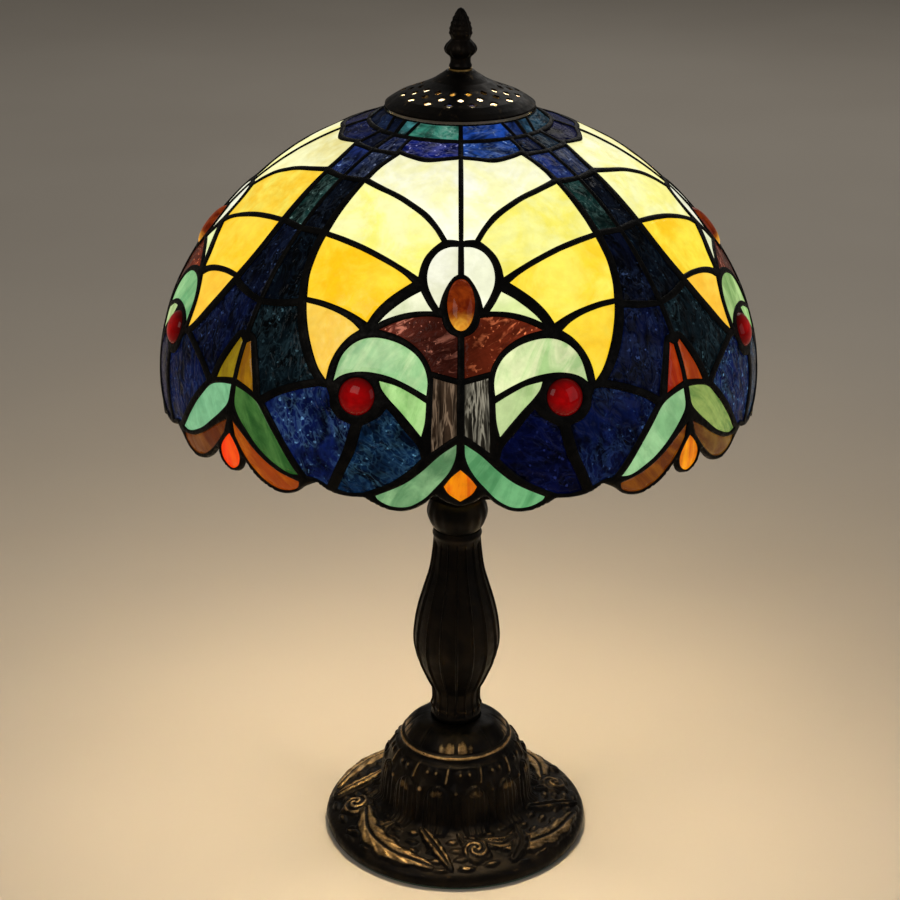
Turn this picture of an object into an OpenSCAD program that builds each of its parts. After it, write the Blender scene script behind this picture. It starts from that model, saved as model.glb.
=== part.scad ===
// Stained glass table lamp: four-panel leaded dome shade on a cast bronze-finish base.
// Millimetres, +Z up, origin at the middle of the underside of the base.
// The middle of one shade panel faces -Y. Panel outlines are given as
// [angle from the panel's middle in degrees, distance down the dome in mm].

/* [Shade] */
// Thickness of the glass
glass_t = 2.5; // [2.2:0.1:2.8]
// Solder standing proud of the glass, outside and inside
solder_rise = 0.7; // [0.4:0.1:1]
// Gap between a pane and the solder round it
pane_gap = 0.1; // [0.05:0.05:0.2]

/* [Harp and socket] */
// Seat of the shade above the saddle
harp_height = 224; // [220:1:230]
// Radius of the harp wire
harp_wire_r = 1.9; // [1.6:0.1:2.1]
// Radius of the threaded stud on top of the harp
stud_r = 3.17; // [3:0.01:3.2]

/* [Base and stem] */
// Outer radius of the base
base_r = 72.6; // [71:0.2:75]
// Wall of the base casting
base_wall = 3; // [2.5:0.1:3.2]
// Radius of the lamp pipe
pipe_r = 4.9; // [4.8:0.05:5]

/* [Vented cap] */
// Vent holes in each of the three rings
vents_per_ring = 16; // [12:1:16]

/* [Hidden] */
$fn = 96;
saddle_z = 199.5;
seat_z = saddle_z + harp_height;
// dome: a steeper collar under the vent cap, then a ball that runs tangent into a tighter skirt arc
collar_top = -3.4;
collar_end = 6.9;
collar_a = 38.5;
cap_ball_r = 157;
skirt_r = 105;
a_top = 14;
a_join = 64;
ball_z = seat_z - 171.8;
ball_arc = cap_ball_r * (a_join - a_top) * PI / 180;
bands_up = 7;
bands_down = 4;
skirt_end = 203;
net_out = solder_rise;
net_in = glass_t + solder_rise;

// ---------- dome ----------
function ball_a(s) = a_top + s / cap_ball_r * 180 / PI;
function dome_a(s) = s < collar_end ? collar_a
    : s <= ball_arc ? ball_a(s)
    : a_join + (s - ball_arc) / skirt_r * 180 / PI;
function dome_r(s, off) = off * sin(dome_a(s)) + (s < collar_end
    ? cap_ball_r * sin(ball_a(collar_end)) - (collar_end - s) * cos(collar_a)
    : s <= ball_arc ? cap_ball_r * sin(dome_a(s))
    : cap_ball_r * sin(a_join) + skirt_r * (sin(dome_a(s)) - sin(a_join)));
function dome_z(s, off) = ball_z + off * cos(dome_a(s)) + (s < collar_end
    ? cap_ball_r * cos(ball_a(collar_end)) + (collar_end - s) * sin(collar_a)
    : s <= ball_arc ? cap_ball_r * cos(dome_a(s))
    : cap_ball_r * cos(a_join) - skirt_r * (cos(a_join) - cos(dome_a(s))));
// the dome is turned in straight bands; band_s gives where each one starts
function band_s(i) = i == 0 ? collar_top
    : i == 1 ? collar_end
    : i <= bands_up ? ball_arc * (i - 1) / (bands_up - 1)
    : ball_arc + (skirt_end - ball_arc) * (i - bands_up) / bands_down;
function first_band(s) = max([0, each [for (i = [0:bands_up + bands_down]) if (band_s(i) <= s - 3) i]]);
function last_band(s) = min([bands_up + bands_down,
    each [for (i = [0:bands_up + bands_down]) if (band_s(i) >= s + 3) i]]);

// patch of dome wall between two band numbers and two angles
module wall(b0, b1, f0, f1, out, in) {
    rotate([0, 0, f0 - 90])
        rotate_extrude(angle = f1 - f0, $fn = 180)
            polygon(concat(
                [for (i = [b0:b1]) [dome_r(band_s(i), out), dome_z(band_s(i), out)]],
                [for (i = [b1:-1:b0]) [dome_r(band_s(i), -in), dome_z(band_s(i), -in)]]));
}

// ---------- outlines ----------
function knot(p, i) = i < 0 ? 2 * p[0] - p[1]
    : i >= len(p) ? 2 * p[len(p) - 1] - p[len(p) - 2]
    : p[i];
function blend(a, b, c, d, t) = 0.5 * (2 * b + (c - a) * t
    + (2 * a - 5 * b + 4 * c - d) * t * t + (3 * b - a - 3 * c + d) * t * t * t);
function curve(p, n) = [for (i = [0:len(p) - 2]) for (k = [0:n - 1])
    blend(knot(p, i - 1), p[i], p[i + 1], knot(p, i + 2), k / n)];
// a pane is a list of sides; each side starts at a corner and runs to the next side's corner
function outline(sides, n) = [for (i = [0:len(sides) - 1])
    let (p = concat(sides[i], [sides[(i + 1) % len(sides)][0]]))
    each (len(p) > 2 ? curve(p, n) : [p[0]])];
function mean(v, j) = [for (p = v) p[j]] * [for (p = v) 1] / len(v);
function area2(p) = let (m = len(p))
    [for (i = [0:m - 1]) p[i].x * p[(i + 1) % m].y - p[(i + 1) % m].x * p[i].y] * [for (i = [0:m - 1]) 1];
function unit(v) = v / norm(v);
// move every edge inwards by d
function inset(p, d) = let (m = len(p), w = area2(p) > 0 ? 1 : -1)
    [for (i = [0:m - 1])
        let (u = unit(p[i] - p[(i + m - 1) % m]), v = unit(p[(i + 1) % m] - p[i]),
            a = w * [-u.y, u.x], b = w * [-v.y, v.x])
        p[i] + d * (a + b) / (1 + a * b)];
// outline in the plane that touches the dome at [f, s]
function flat_outline(o, f, s) = [for (p = o)
    let (off = -glass_t / 2, r = dome_r(p[1], off))
    [r * sin(p[0] - f),
     (dome_r(s, off) - r * cos(p[0] - f)) * cos(dome_a(s))
        + (dome_z(p[1], off) - dome_z(s, off)) * sin(dome_a(s))]];

// straight-sided plug through the dome on a pane's outline
module plug(o, shrink) {
    f = mean(o, 0);
    s = mean(o, 1);
    rotate([0, 0, f])
        translate([0, -dome_r(s, -glass_t / 2), dome_z(s, -glass_t / 2)])
            rotate([dome_a(s), 0, 0])
                linear_extrude(height = 36, center = true)
                    polygon(inset(flat_outline(o, f, s), shrink));
}
module pane(sides, n = 1) {
    o = outline(sides, n);
    fs = [for (p = o) p[0]];
    ss = [for (p = o) p[1]];
    intersection() {
        wall(first_band(min(ss)), last_band(max(ss)), min(fs) - 4, max(fs) + 4, 0, glass_t);
        plug(o, pane_gap);
    }
}
module four() {
    for (k = [0:3]) rotate([0, 0, 90 * k]) children();
}
module eight() {
    for (k = [0:3]) rotate([0, 0, 90 * k]) {
        children();
        mirror([1, 0, 0]) children();
    }
}

// ---------- panes of half a panel ----------
fan_top = [[[0.9, 21.5], [7, 22.7], [15, 24.3], [22, 23]],
    [[29.5, 20.7], [32, 28], [33.5, 35]],
    [[34, 40.6], [27, 44], [20, 47.8], [14.5, 52.4], [9.5, 58], [6, 65]],
    [[3.6, 71.8]], [[0.5, 72.3]]];
fan_upper = [[[34.8, 43.4], [27.3, 46.6], [20.2, 50.3], [15.3, 54.5], [10.7, 59.8], [7.2, 66]],
    [[4.8, 72.6], [6.8, 76.4], [8.4, 81], [9.2, 86]],
    [[9.5, 91.4], [13, 87.4], [18, 82.7], [24, 78.5], [30, 75.8]],
    [[36, 74.3], [35.9, 66], [35.6, 57], [35.2, 50]]];
fan_middle = [[[36.1, 76.7], [30, 78.3], [24, 81], [18, 85.2], [13.4, 89.8]],
    [[10.6, 94], [13.2, 98.5], [15.6, 103.5], [17.5, 109]],
    [[18.8, 114.8], [21.6, 112], [25, 109.7], [29.5, 108]],
    [[33.7, 107.7], [35, 99], [35.8, 90], [36.1, 82]]];
fan_tip = [[[33.4, 110], [29.5, 110.4], [25.6, 112], [22.3, 114.8]],
    [[20, 118.3], [22, 122.6], [23.6, 128.5], [24.6, 135.5]],
    [[24.9, 143.2], [27, 138], [29.3, 129.5], [31.5, 120]]];
half_disc = [[[0.6, 75.2], [3, 75.5], [5.4, 78], [7.1, 83], [7.7, 89], [7.3, 95], [6, 101]],
    [[4.5, 106], [3.9, 100], [2.9, 94.8], [1.7, 91]], [[0.6, 89.5]]];
shoulder = [[[8.6, 97.8], [10.9, 101], [13.3, 105.5], [15.2, 110]],
    [[16.6, 114.4], [14.4, 111.7], [11.8, 109.4], [9, 107.9]], [[5.7, 107.3], [7, 103.4]]];
wing = [[[0.6, 118.7], [2.2, 117], [3.3, 113.8]],
    [[3.8, 110], [6.4, 109.5], [9.6, 110.4], [13, 113.1]],
    [[16.3, 117.3], [12.9, 118.8], [10, 121.7], [7.6, 126], [6, 131.2]],
    [[5.4, 134.6], [3, 136.1]], [[0.6, 137.6]]];
hook = [[[6, 145.6], [5.9, 139], [6.7, 132.5], [8.5, 127], [11.6, 122.8], [15.5, 120.9],
        [18.8, 122], [21.3, 126], [22.9, 132.5]],
    [[23.5, 143.2], [22.1, 140.2], [20, 138], [17, 137], [13.2, 138], [9.7, 141]]];
hook_tail = [[[6, 148.6], [8.6, 144.9], [11.6, 141.6]],
    [[14.9, 140], [14.2, 144], [12.6, 148.4], [10.8, 152.6], [8.8, 158]],
    [[6.7, 164.2], [6.1, 157]]];
trunk = [[[0.6, 140], [2.9, 138.6]], [[5, 137.2]],
    [[5.1, 171.3], [3.6, 168.3], [2.1, 165.4]], [[0.6, 162.8]]];
rim_leaf = [[[0.6, 166.4], [3.5, 171.8], [6.8, 180.2], [9.8, 186.5]],
    [[14.7, 193.6], [14.2, 195.8], [11.9, 198.6], [8.9, 198.2], [6.2, 193.6], [4.1, 187.4],
        [1.9, 180], [0.8, 173]]];
flame = [[[43.5, 133.8]], [[44.5, 135.5]], [[44.5, 153.2], [42.2, 154.5]],
    [[39.9, 156.2], [40.7, 149.5], [42, 141.5]]];
corner_leaf = [[[44.4, 156.2], [41.2, 157.7], [38.4, 160.7], [36, 167.3], [33.2, 176], [30.6, 185]],
    [[29, 189.8], [31, 190.2], [33.6, 187.8], [37, 183], [40.1, 176.5], [42.6, 170.5], [44.2, 164.8]]];
corner_brown = [[[44.3, 172.8], [41.4, 177.6], [37.9, 184], [33.6, 189.9]],
    [[29, 193], [29.4, 196.6], [31.4, 199.3], [34, 199.8], [37, 197], [39.7, 191.8], [41.8, 186]],
    [[43.6, 179.8]]];
band_1 = [[[32.2, 22.6], [34.3, 29], [35.7, 35]], [[36.3, 40.6], [40.2, 41.4]],
    [[44.3, 41.8]], [[44.1, 22.8], [38, 22.3]]];
band_2 = [[[36.6, 43.8], [37.4, 52], [37.9, 62]], [[38.1, 73.6]],
    [[44.4, 74.6]], [[44.3, 44.4], [40.4, 44.2]]];
band_3 = [[[38.2, 76.6], [37.9, 87], [37.1, 97]], [[35.6, 109.3], [40, 112]],
    [[44.4, 113.8]], [[44.4, 77.4]]];
band_4 = [[[35.1, 112.6], [33.6, 120.4], [31.5, 129.7], [29.1, 138.2]],
    [[27.2, 143.4], [31.3, 147.2], [35.2, 152]],
    [[38.1, 156.8], [39, 149.5], [40.5, 141], [42.5, 132]],
    [[44.4, 130.2]], [[44.4, 116.4], [39.8, 115]]];
lower_1 = [[[26.2, 146.2], [30.2, 149.6], [34.2, 154.4]],
    [[37, 159.6], [34.7, 166], [31.9, 174.8], [29.3, 183.6]],
    [[27.4, 189.4], [25.6, 189.6]],
    [[23.4, 191.8], [21.9, 183], [20.3, 173]],
    [[19.2, 161], [21.6, 158.8], [23.2, 154.4], [23.7, 149.6]], [[24.5, 146.2]]];
lower_2 = [[[13, 152], [14.3, 156.2]], [[17.2, 160.9], [18.3, 173], [20, 183.2]],
    [[21.6, 193], [19.4, 194]], [[16.8, 193], [12.2, 186.8], [8.9, 180.2]],
    [[6.6, 173.8], [7.3, 168], [9.7, 161], [11.6, 155.4]]];
crown_1 = [[[1.2, 8]], [[30.4, 8], [31, 13]],
    [[30.6, 17.8], [24, 19.8], [15, 21.6], [7, 20.2]], [[1.1, 19]]];
crown_2 = [[[32.8, 8]], [[43.7, 8]], [[43.9, 20.2], [38, 20]], [[32.6, 19.4]]];
crown_3 = [[[1.3, -2.1]], [[31, -2.1]], [[35, 5.8]], [[1.3, 5.8]]];
crown_4 = [[[33.4, -2.1]], [[43.3, -2.1]], [[43.5, 5.8]], [[37.2, 5.8]]];
// panes that sit whole on a symmetry line
diamond = [[[0, 178.4], [1.6, 182.2]], [[2.9, 186.8], [2, 190.8]],
    [[0, 194.6], [-2, 190.8]], [[-2.9, 186.8], [-1.6, 182.2]]];
corner_drop = [[[45, 180], [46.1, 182.8], [47.1, 187.2], [47.3, 191], [46.6, 194.8],
    [45, 196.8], [43.4, 194.8], [42.7, 191], [42.9, 187.2], [43.9, 182.8]]];
// domed gems: angle, distance down, half width, half height, rise
oval_gem = [0, 103.9, 6, 12.2, 3.2];
red_gem = [18.6, 148.2, 8.3, 8.3, 4];
// what is cut away below the scalloped rim
rim_a = [[[-4.3, 191.4], [-2.3, 195], [0, 197.2], [2.3, 195]], [[4.3, 191.4]], [[4.9, 194.5]],
    [[4.9, 212]], [[-4.9, 212]], [[-4.9, 194.5]]];
rim_b = [[[4.3, 191.4], [6.4, 196.8], [9.2, 200.5], [12.2, 200.8], [15, 198.2]], [[16.7, 195.6]],
    [[17.2, 197.5]], [[17.2, 212]], [[4, 212]], [[4, 193.5]]];
rim_c = [[[16.7, 195.6], [19.5, 196.3], [22.8, 195.3]], [[25.6, 191.8]], [[26, 193.8]],
    [[26, 212]], [[16.3, 212]], [[16.3, 197.6]]];
rim_d = [[[25.6, 191.8], [27.9, 195.2], [30.2, 199.8], [33.2, 202], [36.4, 200.2], [39.2, 195.9]],
    [[41.5, 189.8]], [[41.8, 195.5]], [[41.8, 212]], [[25.2, 212]], [[25.2, 193.4]]];
rim_e = [[[41.5, 189.8], [42, 194.4], [43.2, 197.8], [45, 199.2], [46.8, 197.8], [48, 194.4]],
    [[48.5, 189.8]], [[48.8, 192.5]], [[48.8, 212]], [[41.2, 212]], [[41.2, 192.5]]];
// long curves are drawn with two lengths to each span, the rest with one
long_curves = [fan_top, fan_upper, fan_middle, fan_tip, rim_b, rim_c, rim_d];
short_curves = [half_disc, shoulder, wing, hook, hook_tail, trunk, rim_leaf, flame, corner_leaf,
    corner_brown, band_1, band_2, band_3, band_4, lower_1, lower_2, crown_1, crown_2, crown_3,
    crown_4];

function gem_outline(g, n) = [for (k = [0:n - 1])
    [g[0] + g[2] * cos(360 * k / n) / dome_r(g[1], 0) * 180 / PI, g[1] + g[3] * sin(360 * k / n)]];
module gem(g) {
    h = max(g[2], g[3]);
    ball = (h * h + g[4] * g[4]) / (2 * g[4]);
    o = gem_outline(g, 16);
    rotate([0, 0, g[0]])
        translate([0, -dome_r(g[1], 0), dome_z(g[1], 0)])
            rotate([dome_a(g[1]), 0, 0])
                intersection() {
                    translate([0, 0, -glass_t])
                        linear_extrude(height = 12)
                            polygon(inset(flat_outline(o, g[0], g[1]), pane_gap));
                    translate([0, 0, g[4] - ball]) sphere(r = ball, $fn = 128);
                }
}

// solder of one panel: dome wall from corner to corner, with every pane's plug taken out
module solder_net(k) {
    color("dimgray")
        rotate([0, 0, 90 * k])
            difference() {
                wall(0, bands_up + bands_down, -44.99, 44.99, net_out, net_in);
                for (p = long_curves) {
                    plug(outline(p, 2), 0);
                    mirror([1, 0, 0]) plug(outline(p, 2), 0);
                }
                for (p = short_curves) {
                    plug(outline(p, 1), 0);
                    mirror([1, 0, 0]) plug(outline(p, 1), 0);
                }
                plug(outline(diamond, 1), 0);
                plug(outline(rim_a, 2), 0);
                plug(gem_outline(oval_gem, 16), 0);
                plug(gem_outline(red_gem, 16), 0);
                mirror([1, 0, 0]) plug(gem_outline(red_gem, 16), 0);
                for (a = [0, -90]) rotate([0, 0, a]) {
                    plug(outline(corner_drop, 1), 0);
                    plug(outline(rim_e, 2), 0);
                }
            }
}
module solder_net_1() { solder_net(0); }
module solder_net_2() { solder_net(1); }
module solder_net_3() { solder_net(2); }
module solder_net_4() { solder_net(3); }
module glass_fan_top() { color("ivory") eight() pane(fan_top, 2); }
module glass_fan_upper() { color("lemonchiffon") eight() pane(fan_upper, 2); }
module glass_fan_middle() { color("gold") eight() pane(fan_middle, 2); }
module glass_fan_tip() { color("orange") eight() pane(fan_tip, 2); }
module glass_white() {
    color("mintcream") {
        eight() pane(half_disc);
        eight() pane(shoulder);
    }
}
module glass_oval_gem() { color("sienna") four() gem(oval_gem); }
module glass_wing() { color("saddlebrown") eight() pane(wing); }
module glass_trunk() { color("gray") eight() pane(trunk); }
module glass_hook() { color("palegreen") eight() pane(hook); }
module glass_hook_tail() { color("darkseagreen") eight() pane(hook_tail); }
module glass_red_gem() { color("red") eight() gem(red_gem); }
module glass_rim_leaf() { color("mediumaquamarine") eight() pane(rim_leaf); }
module glass_rim_diamond() { color("darkorange") four() pane(diamond); }
module glass_flame() { color("orangered") eight() pane(flame); }
module glass_corner_leaf() { color("seagreen") eight() pane(corner_leaf); }
module glass_corner_brown() { color("peru") eight() pane(corner_brown); }
module glass_corner_drop() { color("tomato") four() pane(corner_drop); }
module glass_band() {
    color("midnightblue") for (p = [band_1, band_2, band_3, band_4]) eight() pane(p);
}
module glass_lower() {
    color("navy") for (p = [lower_1, lower_2]) eight() pane(p);
}
module glass_crown() {
    color("royalblue") for (p = [crown_1, crown_2, crown_3, crown_4]) eight() pane(p);
}

// ---------- helpers ----------
module turned(p) { rotate_extrude() polygon(p); }
module ring(z0, z1, r_in, r_out) { turned([[r_in, z0], [r_out, z0], [r_out, z1], [r_in, z1]]); }

// ---------- base ----------
brim_r = 41.6;
module base_casting() {
    color("darkslategray") difference() {
        union() {
            turned([[0, 14], [brim_r, 14], [brim_r, 19.5], [41, 24], [41, 36],
                [40.4, 42], [38.8, 47], [35.8, 51.6], [32.4, 54.4], [31.2, 56.4], [28.4, 59.4],
                [25, 62.6], [21, 65.4], [17, 66.8], [14, 67.2], [0, 67.2]]);
            translate([0, 0, 55.4]) rotate_extrude() translate([31.4, 0]) circle(r = 1.5, $fn = 32);
            for (k = [0:11]) rotate([0, 0, 30 * k + 15])
                translate([0, -36.6, 31]) rotate([6, 0, 0]) scale([1, 0.62, 1.2]) sphere(r = 9, $fn = 48);
        }
        turned([[0, 10], [38.2, 10], [38.2, 16], [37.8, 36], [36.8, 42], [33.4, 48], [27, 54],
            [21, 59], [13, 61], [13, 20], [0, 20]]);
        translate([0, 0, -1]) cylinder(r = pipe_r + 0.4, h = 90);
        translate([0, 0, 27]) rotate([-90, 0, 0]) cylinder(r = 5.1, h = 60);
    }
}
// the wide foot of the same casting, outside the drum
module base_brim() {
    color("darkslategray") turned([[brim_r + 0.1, 14], [45, 12.8], [58, 9.2],
        [base_r - base_wall, 4.8], [base_r - base_wall, 1.2], [base_r - 0.8, 1.2], [base_r, 2.4],
        [base_r, 6], [base_r - 1.8, 8.2], [65, 10.6], [58, 12.8], [50, 15], [44.5, 17],
        [brim_r + 0.1, 19.4]]);
}
module base_felt() { color("darkgreen") ring(0, 1.1, 0, base_r - 1.6); }
module base_weight() {
    color("dimgray") difference() {
        ring(8, 19.9, pipe_r + 0.4, 36);
        translate([0, 24, 0]) cylinder(r = 5, h = 40);
    }
}
module base_washer() { color("silver") ring(6.5, 7.9, pipe_r + 0.3, 11); }
module base_nut() {
    color("gold") difference() {
        translate([0, 0, 2.2]) cylinder(r = 9.2, h = 4.2, $fn = 6);
        cylinder(r = pipe_r + 0.05, h = 20);
    }
}
module cord_bushing() {
    color("black") translate([0, 0, 27]) rotate([-90, 0, 0])
        turned([[3.4, 35.2], [6.6, 35.2], [6.6, 36.9], [5, 37.1], [5, 41.5], [6.6, 41.7],
            [6.6, 43.2], [5.2, 44.4], [3.4, 44.4]]);
}

// ---------- stem ----------
module lamp_pipe() { color("gold") ring(1.8, 212, 3.9, pipe_r); }
stem_side = [[13.3, 67.3], [13.3, 70], [13.6, 74.5], [13.3, 79.3], [13.9, 85.1], [17.1, 91.9],
    [21.1, 101.4], [22.4, 106.2], [23.4, 111], [23.7, 115.7], [23.5, 120.4], [22.3, 129.8],
    [20.2, 139.2], [17.5, 148.4], [14.9, 157.6], [13.5, 166.9], [12.7, 175.8], [12.8, 178.8],
    [12.6, 181.6]];
module stem_casting() {
    color("darkslategray") difference() {
        union() {
            turned(concat([[0, 67.3]], [for (p = stem_side) [p[0] - 0.9, p[1]]], [[0, 181.6]]));
            intersection() {
                turned(concat([[0, 67.3]], stem_side, [[0, 181.6]]));
                union() {
                    for (k = [0:15]) rotate([0, 0, 22.5 * k])
                        translate([-0.8, -30, 0]) cube([1.6, 30, 200]);
                    ring(60, 72, 0, 30);
                    ring(177, 190, 0, 30);
                }
            }
        }
        turned([[0, 60], [pipe_r + 0.4, 60], [pipe_r + 0.4, 84], [15, 100], [19.5, 112],
            [19.5, 120], [16, 136], [9.5, 160], [pipe_r + 0.4, 172], [pipe_r + 0.4, 190], [0, 190]]);
    }
}
module neck_knob() {
    color("darkslategray") turned([[pipe_r + 0.4, 181.7], [11, 181.7], [13.3, 183.3], [15.2, 187],
        [16, 191], [15.5, 195], [14.3, 197.8], [12, 199.3], [pipe_r + 0.4, 199.3]]);
}

// ---------- harp ----------
leg_x = 32.5;
module harp_saddle() {
    color("gold") difference() {
        union() {
            translate([0, 0, saddle_z]) cylinder(r = 11, h = 1.6);
            translate([-leg_x, -5, saddle_z]) cube([2 * leg_x, 10, 1.6]);
            for (a = [-1, 1]) translate([a * leg_x, 0, saddle_z]) {
                cylinder(r = 5, h = 1.6);
                cylinder(r = harp_wire_r, h = 14);
            }
        }
        translate([0, 0, saddle_z - 5]) cylinder(r = pipe_r + 0.3, h = 20);
    }
}
module ferrule(a) {
    color("gold") translate([a * leg_x, 0, 0])
        turned([[harp_wire_r + 0.08, saddle_z + 6], [3.4, saddle_z + 6], [3.4, saddle_z + 7.4],
            [3.1, saddle_z + 7.8], [3.1, saddle_z + 20.2], [3.4, saddle_z + 20.6],
            [3.4, saddle_z + 22], [harp_wire_r + 0.08, saddle_z + 22]]);
}
module harp_ferrule_left() { ferrule(-1); }
module harp_ferrule_right() { ferrule(1); }
// the bow: straight leg, turn out, long turn in, straight, tight turn to the top plate
out_turn = 16;
out_r = 60;
in_r = 150;
top_r = 27;
top_lean = 8;
leg_top = saddle_z + 46 + (harp_height - 224);
ax = leg_x + out_r;
bx = ax - (out_r + in_r) * cos(out_turn);
bz = leg_top + (out_r + in_r) * sin(out_turn);
cx = bx + in_r * cos(top_lean);
cz = bz + in_r * sin(top_lean);
straight = (seat_z - 7.3 - top_r * (1 - sin(top_lean)) - cz) / cos(top_lean);
dx = cx - straight * sin(top_lean);
dz = cz + straight * cos(top_lean);
module arc(x, z, r, from, sweep, wire) {
    translate([x, 0, z]) rotate([90, 0, 0]) rotate([0, 0, from])
        rotate_extrude(angle = sweep) translate([r, 0]) circle(r = wire, $fn = 32);
}
// every second length is a hair thinner and runs on into its neighbours
thin = harp_wire_r - 0.02;
lap = 0.3;
module harp_side() {
    translate([leg_x, 0, saddle_z + 14.2]) cylinder(r = thin, h = leg_top - saddle_z - 14.2 + lap);
    arc(ax, leg_top, out_r, 180 - out_turn, out_turn, harp_wire_r);
    arc(bx, bz, in_r, -out_turn - 0.12, out_turn + top_lean + 0.24, thin);
    translate([cx, 0, cz]) rotate([0, -top_lean, 0]) cylinder(r = harp_wire_r, h = straight);
    arc(dx - top_r * cos(top_lean), dz - top_r * sin(top_lean), top_r, top_lean - 0.9,
        91.8 - top_lean, thin);
}
module harp_bow() {
    bar = dx - top_r * cos(top_lean);
    color("gold") {
        harp_side();
        mirror([1, 0, 0]) harp_side();
        translate([-bar, 0, dz - top_r * sin(top_lean) + top_r]) rotate([0, 90, 0])
            cylinder(r = harp_wire_r, h = 2 * bar);
        translate([0, 0, seat_z - 9.3]) cylinder(r = 6, h = 7.1);
    }
}
module harp_stud() {
    color("gold") {
        translate([0, 0, seat_z - 2.1]) cylinder(r = 9, h = 2.1);
        translate([0, 0, seat_z - 1]) cylinder(r = stud_r, h = 18.5);
    }
}
module seat_washer() { color("silver") ring(seat_z + 0.1, seat_z + 1.3, stud_r + 0.33, 7.3); }

// ---------- socket ----------
module socket_cap() {
    color("goldenrod") turned([[pipe_r + 0.1, saddle_z + 1.7], [9, saddle_z + 1.7],
        [9, saddle_z + 5.5], [14, saddle_z + 7.5], [16.6, saddle_z + 11], [16.6, saddle_z + 15],
        [15.7, saddle_z + 15], [15.7, saddle_z + 11.6], [13.4, saddle_z + 8.6],
        [8, saddle_z + 6.5], [pipe_r + 0.1, saddle_z + 6.5]]);
}
module socket_shell() { color("goldenrod") ring(saddle_z + 15.1, saddle_z + 56, 16.1, 16.8); }
module socket_liner() { color("tan") ring(saddle_z + 16, saddle_z + 55.5, 14.9, 15.9); }
module socket_core() {
    color("black") difference() {
        translate([0, 0, saddle_z + 16]) cylinder(r = 14.6, h = 17);
        translate([0, 0, saddle_z + 31]) cylinder(r = 13.2, h = 5);
        for (a = [-1, 1]) translate([a * 8, 0, saddle_z + 10]) cylinder(r = 1.8, h = 40);
    }
}
module socket_thread() { color("silver") ring(saddle_z + 33.1, saddle_z + 55, 13.55, 14.1); }
module socket_contact() { color("gold") translate([0, 0, saddle_z + 31.1]) cylinder(r = 4.5, h = 1.2); }

// ---------- bulb ----------
bulb_z = saddle_z + 36;
bulb_side = [[12.6, 19], [12.9, 24], [14.4, 32], [18.4, 42], [24, 52], [28.2, 61], [30, 70],
    [29.5, 79], [26.4, 88], [20.4, 95.5], [12, 100.2], [0, 102]];
module bulb_glass() {
    color("white") translate([0, 0, bulb_z])
        turned(concat(bulb_side, [for (i = [len(bulb_side) - 1:-1:0])
            [max(0, bulb_side[i][0] - 0.9), bulb_side[i][1] - (i > 8 ? 0.9 : 0)]]));
}
module bulb_cap() {
    color("silver") translate([0, 0, bulb_z])
        turned([[7, 0], [10, 0.4], [13.2, 3.4], [13.2, 24.5], [13.1, 24.5], [12.95, 18.8],
            [11.5, 18.6], [11.5, 4], [7, 1.4]]);
}
module bulb_insulator() { color("black") ring(bulb_z - 1.2, bulb_z + 1.2, 3.4, 6.8); }
module bulb_contact() { color("silver") translate([0, 0, bulb_z - 2.6]) cylinder(r = 3.2, h = 3.2); }
module bulb_mount() {
    color("lightgray") translate([0, 0, bulb_z]) {
        turned([[0, 6], [8, 6], [8, 17], [3.5, 26], [2.6, 42], [3.4, 46], [0, 47]]);
        for (a = [-1, 1]) translate([a * 2.2, 0, 44]) rotate([0, a * 28, 0]) cylinder(r = 0.4, h = 24);
        translate([-13.4, 0, 65]) rotate([0, 90, 0]) cylinder(r = 0.7, h = 26.8);
    }
}

// ---------- top of the shade ----------
module shade_ring() { color("goldenrod") ring(seat_z - 21, seat_z - 12.2, 32.6, 33.9); }
cap_side = [[stud_r + 0.33, 3.4], [6.6, 3.4], [7.8, 2.4], [10.2, 0.8], [13.6, -1.5], [18.5, -3.8],
    [24.3, -6.1], [30.6, -8.6], [34.5, -11], [36.9, -12.7], [36.9, -13.6]];
module vent_cap() {
    color("darkslategray") translate([0, 0, seat_z])
        difference() {
            turned(concat(cap_side, [[36.1, -13.6], [36.1, -13.1], [34.1, -11.8], [30.2, -9.3],
                [24, -6.9], [18.2, -4.6], [13.2, -2.3], [9.8, 0], [7.6, 1.4], [stud_r + 0.33, 1.4]]));
            for (j = [0:2]) for (k = [0:vents_per_ring - 1])
                rotate([0, 0, (k + (j % 2 == 0 ? 0.5 : 0)) * 360 / vents_per_ring])
                    translate([0, -19.7 - 4.4 * j, -30])
                        linear_extrude(height = 60)
                            polygon([[-2 - 0.3 * j, 0], [-0.6, -1.7], [0.6, -1.7],
                                [2 + 0.3 * j, 0], [0.6, 1.7], [-0.6, 1.7]]);
        }
}
module finial_washer() { color("goldenrod") ring(seat_z + 3.5, seat_z + 4.3, stud_r + 0.33, 5.8); }
module finial() {
    color("darkslategray") translate([0, 0, seat_z])
        turned([[stud_r + 0.08, 4.4], [5.1, 4.4], [5.6, 5.4], [5.1, 7], [5.2, 9.8], [7.2, 11.6],
            [7.8, 13.5], [7.2, 15.6], [5.2, 17.8], [4.6, 18.5], [5.4, 20.6], [5.4, 22.5],
            [4.6, 26], [3, 30], [1.4, 32.6], [0, 33.5], [0, 19.5], [stud_r + 0.08, 19.5]]);
}

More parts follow.
